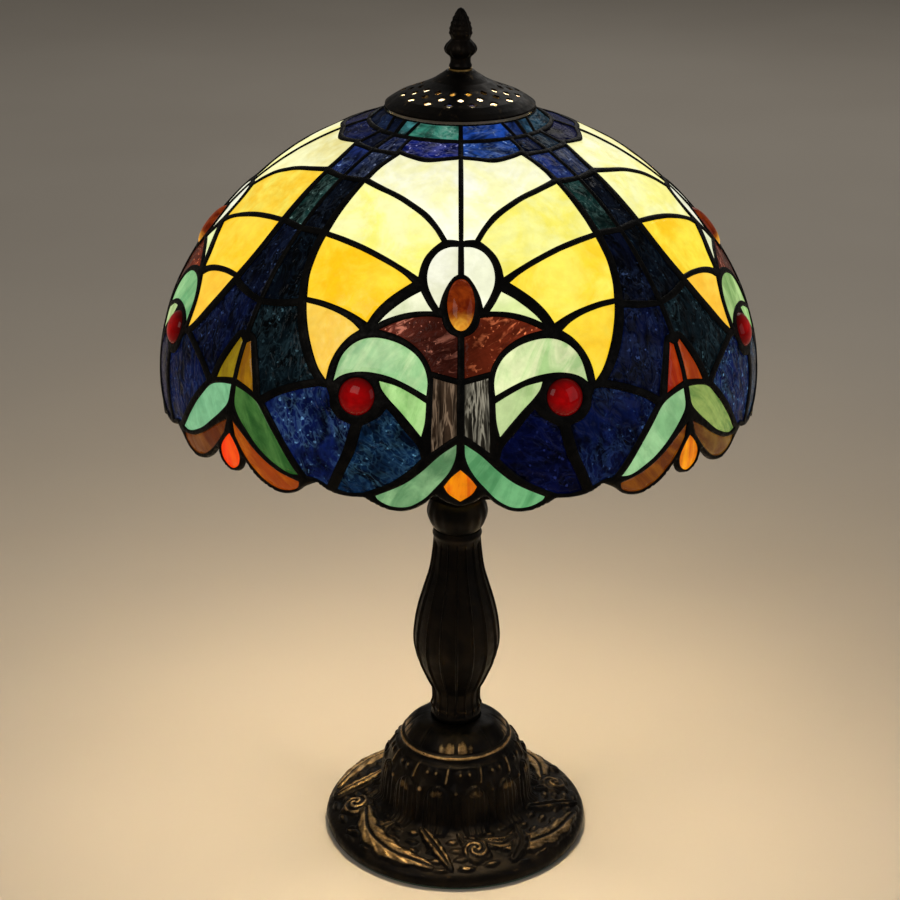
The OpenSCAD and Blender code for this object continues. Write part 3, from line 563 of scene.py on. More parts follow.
# ---------- outlines of the panes in half a panel ----------
# Each is a list of sides. A side starts at a corner and runs to the next side's first point.
SHAPES = {
    "fan_top": [[(0.9, 21.5), (7, 22.7), (15, 24.3), (22, 23)], [(29.5, 20.7), (32, 28), (33.5, 35)],
                [(34, 40.6), (27, 44), (20, 47.8), (14.5, 52.4), (9.5, 58), (6, 65)],
                [(3.6, 71.8)], [(0.5, 72.3)]],
    "fan_upper": [[(34.8, 43.4), (27.3, 46.6), (20.2, 50.3), (15.3, 54.5), (10.7, 59.8), (7.2, 66)],
                  [(4.8, 72.6), (6.8, 76.4), (8.4, 81), (9.2, 86)],
                  [(9.5, 91.4), (13, 87.4), (18, 82.7), (24, 78.5), (30, 75.8)],
                  [(36, 74.3), (35.9, 66), (35.6, 57), (35.2, 50)]],
    "fan_middle": [[(36.1, 76.7), (30, 78.3), (24, 81), (18, 85.2), (13.4, 89.8)],
                   [(10.6, 94), (13.2, 98.5), (15.6, 103.5), (17.5, 109)],
                   [(18.8, 114.8), (21.6, 112), (25, 109.7), (29.5, 108)],
                   [(33.7, 107.7), (35, 99), (35.8, 90), (36.1, 82)]],
    "fan_tip": [[(33.4, 110), (29.5, 110.4), (25.6, 112), (22.3, 114.8)],
                [(20, 118.3), (22, 122.6), (23.6, 128.5), (24.6, 135.5)],
                [(24.9, 143.2), (27, 138), (29.3, 129.5), (31.5, 120)]],
    "half_disc": [[(0.6, 75.2), (3, 75.5), (5.4, 78), (7.1, 83), (7.7, 89), (7.3, 95), (6, 101)],
                  [(4.5, 106), (3.9, 100), (2.9, 94.8), (1.7, 91)], [(0.6, 89.5)]],
    "shoulder": [[(8.6, 97.8), (10.9, 101), (13.3, 105.5), (15.2, 110)],
                 [(16.6, 114.4), (14.4, 111.7), (11.8, 109.4), (9, 107.9)], [(5.7, 107.3), (7, 103.4)]],
    "wing": [[(0.6, 118.7), (2.2, 117), (3.3, 113.8)], [(3.8, 110), (6.4, 109.5), (9.6, 110.4), (13, 113.1)],
             [(16.3, 117.3), (12.9, 118.8), (10, 121.7), (7.6, 126), (6, 131.2)],
             [(5.4, 134.6), (3, 136.1)], [(0.6, 137.6)]],
    "hook": [[(6, 145.6), (5.9, 139), (6.7, 132.5), (8.5, 127), (11.6, 122.8), (15.5, 120.9), (18.8, 122),
              (21.3, 126), (22.9, 132.5)],
             [(23.5, 143.2), (22.1, 140.2), (20, 138), (17, 137), (13.2, 138), (9.7, 141)]],
    "hook_tail": [[(6, 148.6), (8.6, 144.9), (11.6, 141.6)],
                  [(14.9, 140), (14.2, 144), (12.6, 148.4), (10.8, 152.6), (8.8, 158)],
                  [(6.7, 164.2), (6.1, 157)]],
    "trunk": [[(0.6, 140), (2.9, 138.6)], [(5, 137.2)], [(5.1, 171.3), (3.6, 168.3), (2.1, 165.4)],
              [(0.6, 162.8)]],
    "rim_leaf": [[(0.6, 166.4), (3.5, 171.8), (6.8, 180.2), (9.8, 186.5)],
                 [(14.7, 193.6), (14.2, 195.8), (11.9, 198.6), (8.9, 198.2), (6.2, 193.6), (4.1, 187.4),
                  (1.9, 180), (0.8, 173)]],
    "flame": [[(43.5, 133.8)], [(44.5, 135.5)], [(44.5, 153.2), (42.2, 154.5)],
              [(39.9, 156.2), (40.7, 149.5), (42, 141.5)]],
    "corner_leaf": [[(44.4, 156.2), (41.2, 157.7), (38.4, 160.7), (36, 167.3), (33.2, 176), (30.6, 185)],
                    [(29, 189.8), (31, 190.2), (33.6, 187.8), (37, 183), (40.1, 176.5), (42.6, 170.5),
                     (44.2, 164.8)]],
    "corner_brown": [[(44.3, 172.8), (41.4, 177.6), (37.9, 184), (33.6, 189.9)],
                     [(29, 193), (29.4, 196.6), (31.4, 199.3), (34, 199.8), (37, 197), (39.7, 191.8),
                      (41.8, 186)], [(43.6, 179.8)]],
    "band_1": [[(32.2, 22.6), (34.3, 29), (35.7, 35)], [(36.3, 40.6), (40.2, 41.4)], [(44.3, 41.8)],
               [(44.1, 22.8), (38, 22.3)]],
    "band_2": [[(36.6, 43.8), (37.4, 52), (37.9, 62)], [(38.1, 73.6)], [(44.4, 74.6)],
               [(44.3, 44.4), (40.4, 44.2)]],
    "band_3": [[(38.2, 76.6), (37.9, 87), (37.1, 97)], [(35.6, 109.3), (40, 112)], [(44.4, 113.8)],
               [(44.4, 77.4)]],
    "band_4": [[(35.1, 112.6), (33.6, 120.4), (31.5, 129.7), (29.1, 138.2)],
               [(27.2, 143.4), (31.3, 147.2), (35.2, 152)],
               [(38.1, 156.8), (39, 149.5), (40.5, 141), (42.5, 132)], [(44.4, 130.2)],
               [(44.4, 116.4), (39.8, 115)]],
    "lower_1": [[(26.2, 146.2), (30.2, 149.6), (34.2, 154.4)], [(37, 159.6), (34.7, 166), (31.9, 174.8),
                (29.3, 183.6)], [(27.4, 189.4), (25.6, 189.6)], [(23.4, 191.8), (21.9, 183), (20.3, 173)],
                [(19.2, 161), (21.6, 158.8), (23.2, 154.4), (23.7, 149.6)], [(24.5, 146.2)]],
    "lower_2": [[(13, 152), (14.3, 156.2)], [(17.2, 160.9), (18.3, 173), (20, 183.2)],
                [(21.6, 193), (19.4, 194)], [(16.8, 193), (12.2, 186.8), (8.9, 180.2)],
                [(6.6, 173.8), (7.3, 168), (9.7, 161), (11.6, 155.4)]],
    "crown_1": [[(1.2, 8)], [(30.4, 8), (31, 13)], [(30.6, 17.8), (24, 19.8), (15, 21.6), (7, 20.2)],
                [(1.1, 19)]],
    "crown_2": [[(32.8, 8)], [(43.7, 8)], [(43.9, 20.2), (38, 20)], [(32.6, 19.4)]],
    "crown_3": [[(1.3, -2.6)], [(30.8, -2.6)], [(35, 5.8)], [(1.3, 5.8)]],
    "crown_4": [[(33.2, -2.6)], [(43.3, -2.6)], [(43.5, 5.8)], [(37.2, 5.8)]],
}
# panes that lie across the middle or a corner of a panel
CENTRED = {
    "diamond": [[(0, 178.4), (1.6, 182.2)], [(2.9, 186.8), (2, 190.8)], [(0, 194.6), (-2, 190.8)],
                [(-2.9, 186.8), (-1.6, 182.2)]],
    "drop": [[(45, 179.2), (46.2, 182.4), (47.4, 187), (47.6, 191), (46.9, 195), (45, 197.6),
              (43.1, 195), (42.4, 191), (42.6, 187), (43.8, 182.4)]],
}
ALL_SHAPES = SHAPES | CENTRED
# cabochons: place, half width, half height and rise in mm
OVAL, RED = (0, 103.9, 6, 12.2, 3.2), (18.6, 148.2, 8.3, 8.3, 4.0)
# the shade's lower edge over half a panel
RIM = [[(0, 197.2), (2.3, 195)], [(4.3, 191.4), (6.4, 196.8), (9.2, 200.5), (12.2, 200.8), (15, 198.2)],
       [(16.7, 195.6), (19.5, 196.3), (22.8, 195.3)],
       [(25.6, 191.8), (27.9, 195.2), (30.2, 199.8), (33.2, 202), (36.4, 200.2), (39.2, 195.9)],
       [(41.5, 189.8), (42, 194.4), (43.2, 197.8), (45, 199.2)]]


def gem_outline(gem, count):
    f, s, w, h, _ = gem
    t = angles(count)
    y = s + h * np.sin(t)
    return np.c_[f + np.degrees(w * np.cos(t) / dome(y)[0]), y]


# ---------- colours of the glass ----------
# Each is a screen colour of 0 to 255, the colour of the glass as it glows lit from behind, which is painted
# light. The rippled, hammered and streaked glass adds its vein to its tint; on the rippled and hammered glass
# the vein is the colour of painted glints.
# kind: (tint, vein) of the left half and of the right half, as seen from outside
COLOURS = {
    "fan_top": (((252, 249, 184), (254, 254, 228)), ((252, 250, 186), (254, 254, 234))),
    "fan_upper": (((253, 246, 120), (254, 252, 180)), ((252, 240, 104), (254, 252, 160))),
    "fan_middle": (((250, 192, 20), (253, 216, 58)), ((252, 212, 45), (254, 236, 96))),
    "fan_tip": (((249, 198, 66), (253, 216, 94)), ((252, 204, 32), (254, 222, 60))),
    "half_disc": (((232, 233, 200), (253, 253, 232)), ((238, 240, 208), (253, 254, 230))),
    "shoulder": (((214, 222, 178), (250, 251, 216)), ((220, 235, 160), (249, 252, 194))),
    "wing": (((64, 24, 16), (215, 135, 110)), ((88, 30, 14), (245, 135, 85))),
    "trunk": (((42, 31, 22), (125, 105, 85)), ((40, 37, 30), (150, 145, 128))),
    "hook": (((146, 197, 136), (186, 221, 160)), ((176, 212, 140), (228, 237, 180))),
    "hook_tail": (((132, 184, 104), (174, 219, 140)), ((164, 196, 126), (194, 216, 152))),
    "rim_leaf": (((88, 136, 90), (132, 176, 124)), ((80, 146, 92), (112, 178, 120))),
    "lower_1": (((5, 14, 50), (115, 165, 205)), ((3, 8, 36), (60, 90, 140))),
    "lower_2": (((4, 20, 40), (95, 150, 180)), ((1, 3, 27), (36, 46, 100))),
    "band_1": (((18, 26, 50), (150, 165, 200)), ((16, 28, 72), (130, 160, 215))),
    "band_2": (((2, 4, 10), (60, 75, 95)), ((10, 32, 30), (140, 180, 170))),
    "band_3": (((1, 3, 8), (40, 60, 75)), ((2, 4, 16), (60, 80, 120))),
    "band_4": (((3, 9, 13), (70, 100, 110)), ((2, 5, 26), (60, 80, 130))),
    "crown_1": (((14, 24, 84), (165, 165, 220)), ((14, 46, 108), (165, 195, 235))),
    "crown_2": (((14, 22, 50), (150, 160, 200)), ((5, 9, 30), (60, 80, 120))),
    "crown_3": (((36, 92, 78), (205, 235, 220)), ((20, 52, 122), (180, 205, 225))),
    "crown_4": (((40, 88, 90), (170, 205, 205)), ((14, 28, 66), (120, 145, 190))),
}
# kind: (tint, vein) on the left and the right of one corner, then of the next corner round
CORNERS = {
    "flame": (((122, 96, 10), (152, 130, 18)), ((124, 78, 8), (158, 112, 12)),
              ((142, 28, 6), (172, 58, 10)), ((138, 44, 9), (176, 82, 20))),
    "corner_leaf": (((104, 166, 120), (130, 192, 142)), ((34, 78, 30), (68, 112, 52)),
                    ((126, 178, 122), (156, 204, 146)), ((90, 126, 62), (152, 174, 92))),
    "corner_brown": (((82, 31, 6), (110, 60, 15)), ((146, 56, 7), (188, 98, 13)),
                     ((92, 40, 6), (128, 70, 11)), ((76, 30, 8), (118, 84, 30))),
    "drop": (((236, 50, 8), (248, 84, 14)),) * 2 + (((206, 100, 10), (254, 158, 14)),) * 2,
}
# the panels at the sides differ in their yellows, hooks and crown:
# (tint, vein) of the left half, then of the right
SIDES = {
    "fan_top": (((250, 244, 160), (254, 254, 210)), ((240, 228, 150), (253, 252, 196))),
    "fan_upper": (((253, 246, 140), (254, 254, 186)), ((251, 202, 46), (254, 238, 96))),
    "fan_middle": (((252, 202, 30), (254, 232, 70)), ((252, 196, 32), (254, 214, 64))),
    "fan_tip": (((246, 188, 52), (253, 208, 72)), ((249, 190, 50), (254, 206, 64))),
    "hook": (((120, 160, 90), (170, 205, 130)), ((110, 178, 118), (150, 205, 140))),
    "crown_1": (((5, 7, 34), (60, 62, 110)), ((8, 14, 44), (80, 90, 140))),
    "crown_2": (((14, 24, 36), (110, 135, 150)), ((6, 9, 24), (60, 70, 100))),
    "crown_3": (((22, 46, 60), (130, 160, 175)), ((6, 14, 34), (60, 80, 110))),
    "crown_4": (((26, 50, 68), (140, 170, 190)), ((8, 14, 30), (70, 84, 115))),
}
DIAMOND = ((214, 88, 5), (255, 152, 8))
OVAL_UPPER, OVAL_LOWER = (134, 50, 6), (196, 100, 18)  # vein of the oval's upper part, tint of its lower
STYLE = {"fan_top": "opal", "fan_upper": "opal", "fan_middle": "opal", "fan_tip": "opal", "white": "opal",
         "oval_gem": "gem", "wing": "hammered", "trunk": "streaked", "hook": "wispy", "hook_tail": "wispy",
         "red_gem": "gem", "rim_leaf": "wispy", "rim_diamond": "wispy", "flame": "wispy",
         "corner_leaf": "wispy", "corner_brown": "wispy", "corner_drop": "wispy", "band": "ripple",
         "lower": "ripple", "crown": "bright_ripple"}
NODE_SHAPES = {
    "fan_top": ["fan_top"], "fan_upper": ["fan_upper"], "fan_middle": ["fan_middle"], "fan_tip": ["fan_tip"],
    "white": ["half_disc", "shoulder"], "wing": ["wing"], "trunk": ["trunk"], "hook": ["hook"],
    "hook_tail": ["hook_tail"], "rim_leaf": ["rim_leaf"], "flame": ["flame"],
    "corner_leaf": ["corner_leaf"], "corner_brown": ["corner_brown"],
    "band": ["band_1", "band_2", "band_3", "band_4"], "lower": ["lower_1", "lower_2"],
    "crown": ["crown_1", "crown_2", "crown_3", "crown_4"], "rim_diamond": ["diamond"],
    "corner_drop": ["drop"],
}
# which way the grain of a pane runs, in degrees from straight down; the others have 0
GRAIN = {"hook": 35, "hook_tail": 15, "rim_leaf": 30, "corner_leaf": -35, "corner_brown": -50, "wing": 60,
         "lower_1": -25, "lower_2": -60, "crown_1": 90, "crown_3": 90, "crown_4": 90}
TUCK = 0.35  # how far a pane's edge goes on under the solder, in mm
PANE_EDGE, PANE_STEP = 1.5, 2.3  # steps along a pane's edge and between the places inside it, in mm
SWELL_SIZE, SWELL_RISE = 9.0, 0.22  # length and height of the glass's slow unevenness, in mm
PATTERN_APART = 37.0  # mm between the places of two panes in the pattern of the glass


SIDE_TURNS = (90, 270)  # the panels to the right and the left of the front one


def pane_colours(kind, turn, flip):
    if kind == "diamond":
        return DIAMOND
    if kind in CORNERS:
        place = (3, 0) if turn in SIDE_TURNS else (1, 2)
        return CORNERS[kind][place[0 if flip else 1]]
    return (SIDES if turn in SIDE_TURNS and kind in SIDES else COLOURS)[kind][0 if flip else 1]


class Skin:
    """Thin pieces gathered into one mesh."""

    def __init__(self):
        self.points, self.faces, self.tint, self.vein, self.flow = [], [], [], [], []
        self.total = 0

    def add(self, points, faces, tint, vein, flow):
        self.points.append(points)
        self.faces += [tuple(i + self.total for i in f) for f in faces]
        self.tint.append(tint)
        self.vein.append(vein)
        self.flow.append(flow)
        self.total += len(points)

    def piece(self, name, node):
        """Makes the object, which stands for the glass node."""
        ones = np.ones((self.total, 1))
        new_piece(name, np.vstack(self.points), self.faces, "shade",
                  glass_material(node, STYLE[node]), ["glass_" + node],
                  [("tint", "FLOAT_COLOR", np.c_[np.vstack(self.tint), ones]),
                   ("vein", "FLOAT_COLOR", np.c_[np.vstack(self.vein), ones]),
                   ("flow", "FLOAT_VECTOR", np.vstack(self.flow))])


def fill_pane(loop, step):
    """Places and triangles over one pane."""
    inner = grid(loop.min(0), loop.max(0), step)
    inner = inner[inside(loop, inner)]
    inner = inner[gaps(inner, near(loop)) >= step * 0.55]
    places, faces = triangles(np.vstack([loop, inner]), [len(loop)])
    faces = faces[inside(loop, places[faces].mean(1))]
    return places, face_out(places, faces)


def face_out(places, faces):
    """Turns every triangle so that it faces away from the shade's axis."""
    q = on_dome(places)
    n = np.cross(q[faces[:, 1]] - q[faces[:, 0]], q[faces[:, 2]] - q[faces[:, 0]])
    wrong = (n * q[faces[:, 0]] * (1, 1, 0)).sum(1) + n[:, 2] * 60 < 0
    faces[wrong] = faces[wrong][:, ::-1]
    return faces


def swell(points, size, amount):
    """A slow unevenness of hand-rolled glass, in mm."""
    return np.array([noise.noise(Vector(p) / size) for p in points]) * amount


def local_flow(places, kind, flip, order):
    """Coordinates in metres over a pane, along its grain, with a place of its own in the pattern."""
    middle = places.mean(0)
    x = np.radians(places[:, 0] - middle[0]) * dome(middle[1])[0]
    y = places[:, 1] - middle[1]
    a = math.radians(GRAIN.get(kind, 0)) * (-1 if flip else 1)
    u = x * math.cos(a) + y * math.sin(a)
    v = y * math.cos(a) - x * math.sin(a)
    return np.c_[u, v, np.full(len(u), PATTERN_APART * order)] * MM


def shade_of(kind, places, middle):
    """How much brighter or darker a pane is across itself."""
    x = np.radians(np.abs(places[:, 0]) - abs(middle[0])) * dome(middle[1])[0]
    y = places[:, 1] - middle[1]
    if kind == "hook":
        return 1 - 0.006 * x
    if kind == "wing":
        return 0.5 + 1.0 * np.clip((np.abs(places[:, 0]) - 2) / 11, 0, 1) ** 1.3
    if kind == "rim_leaf":
        return 1 + 0.012 * y
    if kind == "fan_top":
        return 1 + 0.004 * y
    return np.ones(len(places))


def make_panes():
    draw = random.Random(7)
    order = 0
    for node, kinds in NODE_SHAPES.items():
        skin = Skin()
        for kind in kinds:
            places, faces = fill_pane(moved(outline(ALL_SHAPES[kind], PANE_EDGE), TUCK), PANE_STEP)
            both = np.vstack([places, places])
            for turn, flip in COPIES:
                if kind in CENTRED and flip:
                    continue
                order += 1
                p = put(places, turn, flip)
                outer = on_dome(p, swell(on_dome(p), SWELL_SIZE, SWELL_RISE))
                points, solid = shell(outer, on_dome(p, -GLASS), faces[:, ::-1] if flip else faces)
                light = draw.uniform(0.93, 1.05) * shade_of(kind, both, places.mean(0))
                tint, vein = pane_colours(kind, turn, flip)
                skin.add(points, solid, np.outer(light, linear(tint)), np.outer(light, linear(vein)),
                         local_flow(both, kind, flip, order))
        skin.piece("pane_" + node, node)


def blend(a, b, amount):
    return (1 - amount) * np.array(linear(a)) + amount * np.array(linear(b))


def make_gems():
    draw = random.Random(11)
    rings, around = 9, 48
    top = rings * around
    faces = lathe_faces(rings, around)
    for i in range(around):
        j = (i + 1) % around
        faces.append((top - around + i, top - around + j, top))
        faces.append((i, top + 1 + i, top + 1 + j, j))
    faces.append(tuple(reversed(range(top + 1, top + 1 + around))))
    for node, gem, low, high in (("oval_gem", OVAL, (88, 20, 2), (250, 186, 60)),
                                 ("red_gem", RED, (126, 0, 2), (152, 1, 3))):
        skin = Skin()
        centre = np.array([gem[:2]])
        rim = gem_outline((gem[0], gem[1], gem[2] + TUCK, gem[3] + TUCK, gem[4]), around)
        # rings from the rim to the top, then the top, then the rim of the flat back
        reach = [math.cos(k / rings * math.pi / 2) for k in range(rings)]
        rises = [-0.2 + (gem[4] + 0.2) * (1 - rho ** 2.4) ** 0.62 for rho in reach]
        layers = [(centre + (rim - centre) * rho, rise) for rho, rise in zip(reach, rises)]
        layers += [(centre, gem[4]), (rim, -GLASS)]
        place = np.vstack([p for p, rise in layers])
        down = (place[:, 1] - gem[1]) / gem[3]
        aside = np.radians(place[:, 0] - gem[0]) * dome(gem[1])[0] / gem[2]
        out = np.clip(np.hypot(down, aside), 0, 1)
        for turn, flip in COPIES:
            if gem is OVAL and flip:
                continue
            points = np.vstack([on_dome(put(p, turn, flip), rise) for p, rise in layers])
            if gem is OVAL:
                rise = np.clip((down - 0.35) / 0.5, 0, 1)[:, None]
                tint, vein = blend(low, OVAL_LOWER, rise), blend(OVAL_UPPER, high, rise)
            else:
                light = draw.uniform(0.95, 1.05) * (1.05 - 0.8 * out ** 2 + 0.12 * down)
                tint, vein = np.outer(light, linear(low)), np.outer(light, linear(high))
            skin.add(points, faces if flip else [f[::-1] for f in faces], tint, vein,
                     local_flow(place, node, flip, turn + flip))
        skin.piece("cabochon_" + node, node)


# ---------- solder ----------
BEAD_HIGH, BEAD_WIDE, FOIL = 0.85, 1.25, 0.24  # rise, half width at full rise, overlap on the glass, in mm
SINK, BACK_RISE = 0.06, 0.85  # mm that a bead's edge lies in the glass, rise on the inside as a share
# mm between places: on the mesh's edges, on the edges that distances are measured to, and in the loose fill
EDGE_STEP, FINE_STEP, FILL_STEP = 1.05, 0.35, 1.15
NO_CLOSER, EDGE_SLACK = 0.42, 0.06  # least gap between two places in the net, and slack at its edges, in mm
SIDE_MARGIN = 1 / 6  # degrees kept free at the seams to the next half panels
WEDGE = 45  # degrees
ROLLED = 1.3  # mm of the lower edge that are rounded off


def rim_line(step):
    """The shade's lower edge over half a panel, at even steps."""
    parts = [smooth_side(side + after[:1], step)[:-1] for side, after in zip(RIM, RIM[1:])]
    return np.vstack(parts + [smooth_side(RIM[-1], step)])


def pane_edges(step, oval_count, red_count):
    """Where the solder ends on every pane and cabochon of half a panel."""
    loops = [outline(sides, step) for sides in ALL_SHAPES.values()]
    loops += [gem_outline(OVAL, oval_count), gem_outline(RED, red_count)]
    return [moved(loop, -FOIL) for loop in loops]


def wedge_solder():
    """Over half a panel's solder: places, triangles, bead rise, and distance from the lower edge."""
    holes = pane_edges(EDGE_STEP, 60, 56)
    rim = rim_line(EDGE_STEP)
    downs = []
    for end in (rim[0, 1], rim[-1, 1]):
        downs.append(np.linspace(TOP_EDGE, end, int((end - TOP_EDGE) / EDGE_STEP)))
    across = np.linspace(0, WEDGE, 34)[1:-1]
    border = np.vstack([np.c_[np.zeros(len(downs[0])), downs[0]], rim[1:-1],
                        np.c_[np.full(len(downs[1]), float(WEDGE)), downs[1]][::-1],
                        np.c_[across, np.full(len(across), TOP_EDGE)][::-1]])
    top = np.c_[np.linspace(-2, WEDGE + 2, 130), np.full(130, TOP_EDGE)]
    tree = near(np.vstack(pane_edges(FINE_STEP, 170, 150) + [rim_line(FINE_STEP), top]))
    chosen, cells = [], {}

    def take(p, own):
        """Chooses the places about own mm or more from every edge that aren't too close to a chosen one."""
        p = p[(p[:, 0] > SIDE_MARGIN) & (p[:, 0] < WEDGE - SIDE_MARGIN)]
        for a, b in zip(p, on_dome(p)):
            if tree.find(b)[2] < own - EDGE_SLACK:
                continue
            x, y, z = np.floor(b / NO_CLOSER).astype(int).tolist()
            beside = [cells.get((x + i - 1, y + j - 1, z + k - 1), ()) for i, j, k in np.ndindex(3, 3, 3)]
            if all(np.linalg.norm(other - b) >= NO_CLOSER for cell in beside for other in cell):
                cells.setdefault((x, y, z), []).append(b)
                chosen.append(a)

    # rows beside every edge, then a loose fill
    for own in (0.34, 0.78):
        for hole in holes:
            take(moved(hole, own), own)
    wide = grid((0, TOP_EDGE), (WEDGE, 204), FILL_STEP)
    for hole in holes:
        wide = wide[~inside(hole, wide)]
    wide = wide[inside(np.vstack([rim, [[WEDGE, TOP_EDGE], [0, TOP_EDGE]]]), wide)]
    take(wide, 0.5)
    loops = [border] + holes
    places, faces = triangles(np.vstack(loops + chosen), [len(loop) for loop in loops])
    middle = places[faces].mean(1)
    keep = inside(border, middle)
    for hole in holes:
        keep &= ~inside(hole, middle)
    used, faces = np.unique(face_out(places, faces[keep]), return_inverse=True)
    places, faces = places[used], faces.reshape(-1, 3)
    for side in (0, WEDGE):
        places[np.abs(places[:, 0] - side) < 1e-3, 0] = side
    rise = BEAD_HIGH * np.sqrt(1 - (1 - np.clip(gaps(places, tree) / BEAD_WIDE, 0, 1)) ** 2)
    return places, faces, rise, gaps(places, near(rim_line(FINE_STEP)))


def make_solder():
    """The whole net from eight copies of half a panel's, whose places on the seams are shared."""
    places, faces, rise, at_rim = wedge_solder()
    index, outer, inner, all_faces = {}, [], [], []
    rolled = np.clip(1 - at_rim / ROLLED, 0, 1) ** 2 * ROLLED
    for turn, flip in COPIES:
        p = put(places, turn, flip)
        out = on_dome(p, -SINK + rise - rolled)
        back = on_dome(p, SINK - GLASS - rise * BACK_RISE + rolled)
        middle = np.round(on_dome(p, -1.0), 3)
        numbers = []
        for k, key in enumerate(map(tuple, middle)):
            if key not in index:
                index[key] = len(outer)
                outer.append(out[k])
                inner.append(back[k])
            numbers.append(index[key])
        f = np.array(numbers)[faces]
        all_faces += (f[:, ::-1] if flip else f).tolist()
    points, solid = shell(np.array(outer), np.array(inner), all_faces)
    new_piece("solder_beads", points, solid, "shade", solder_material(),
              ["solder_net_1", "solder_net_2", "solder_net_3", "solder_net_4"])


# ---------- base ----------
BASE_SIDE = [(69.8, 1.2), (71.6, 1.3), (72.6, 2.6), (72.6, 5.6), (70.6, 8.3), (65, 10.7), (58, 12.9),
             (50, 15), (44.6, 17.2), (41.4, 20.2), (40.2, 25), (39.6, 32), (38.8, 38), (37.4, 43), (35, 48),
             (32.2, 52), (29.8, 54.2), (28.8, 56.2), (27, 59.2), (24, 62.4), (20.6, 65.2), (17, 66.8),
             (13.6, 67.2)]


def bell(x, width):
    return np.exp(-(x / width) ** 2)


def ramp(x, low, high):
    t = np.clip((x - low) / (high - low), 0, 1)
    return t * t * (3 - 2 * t)


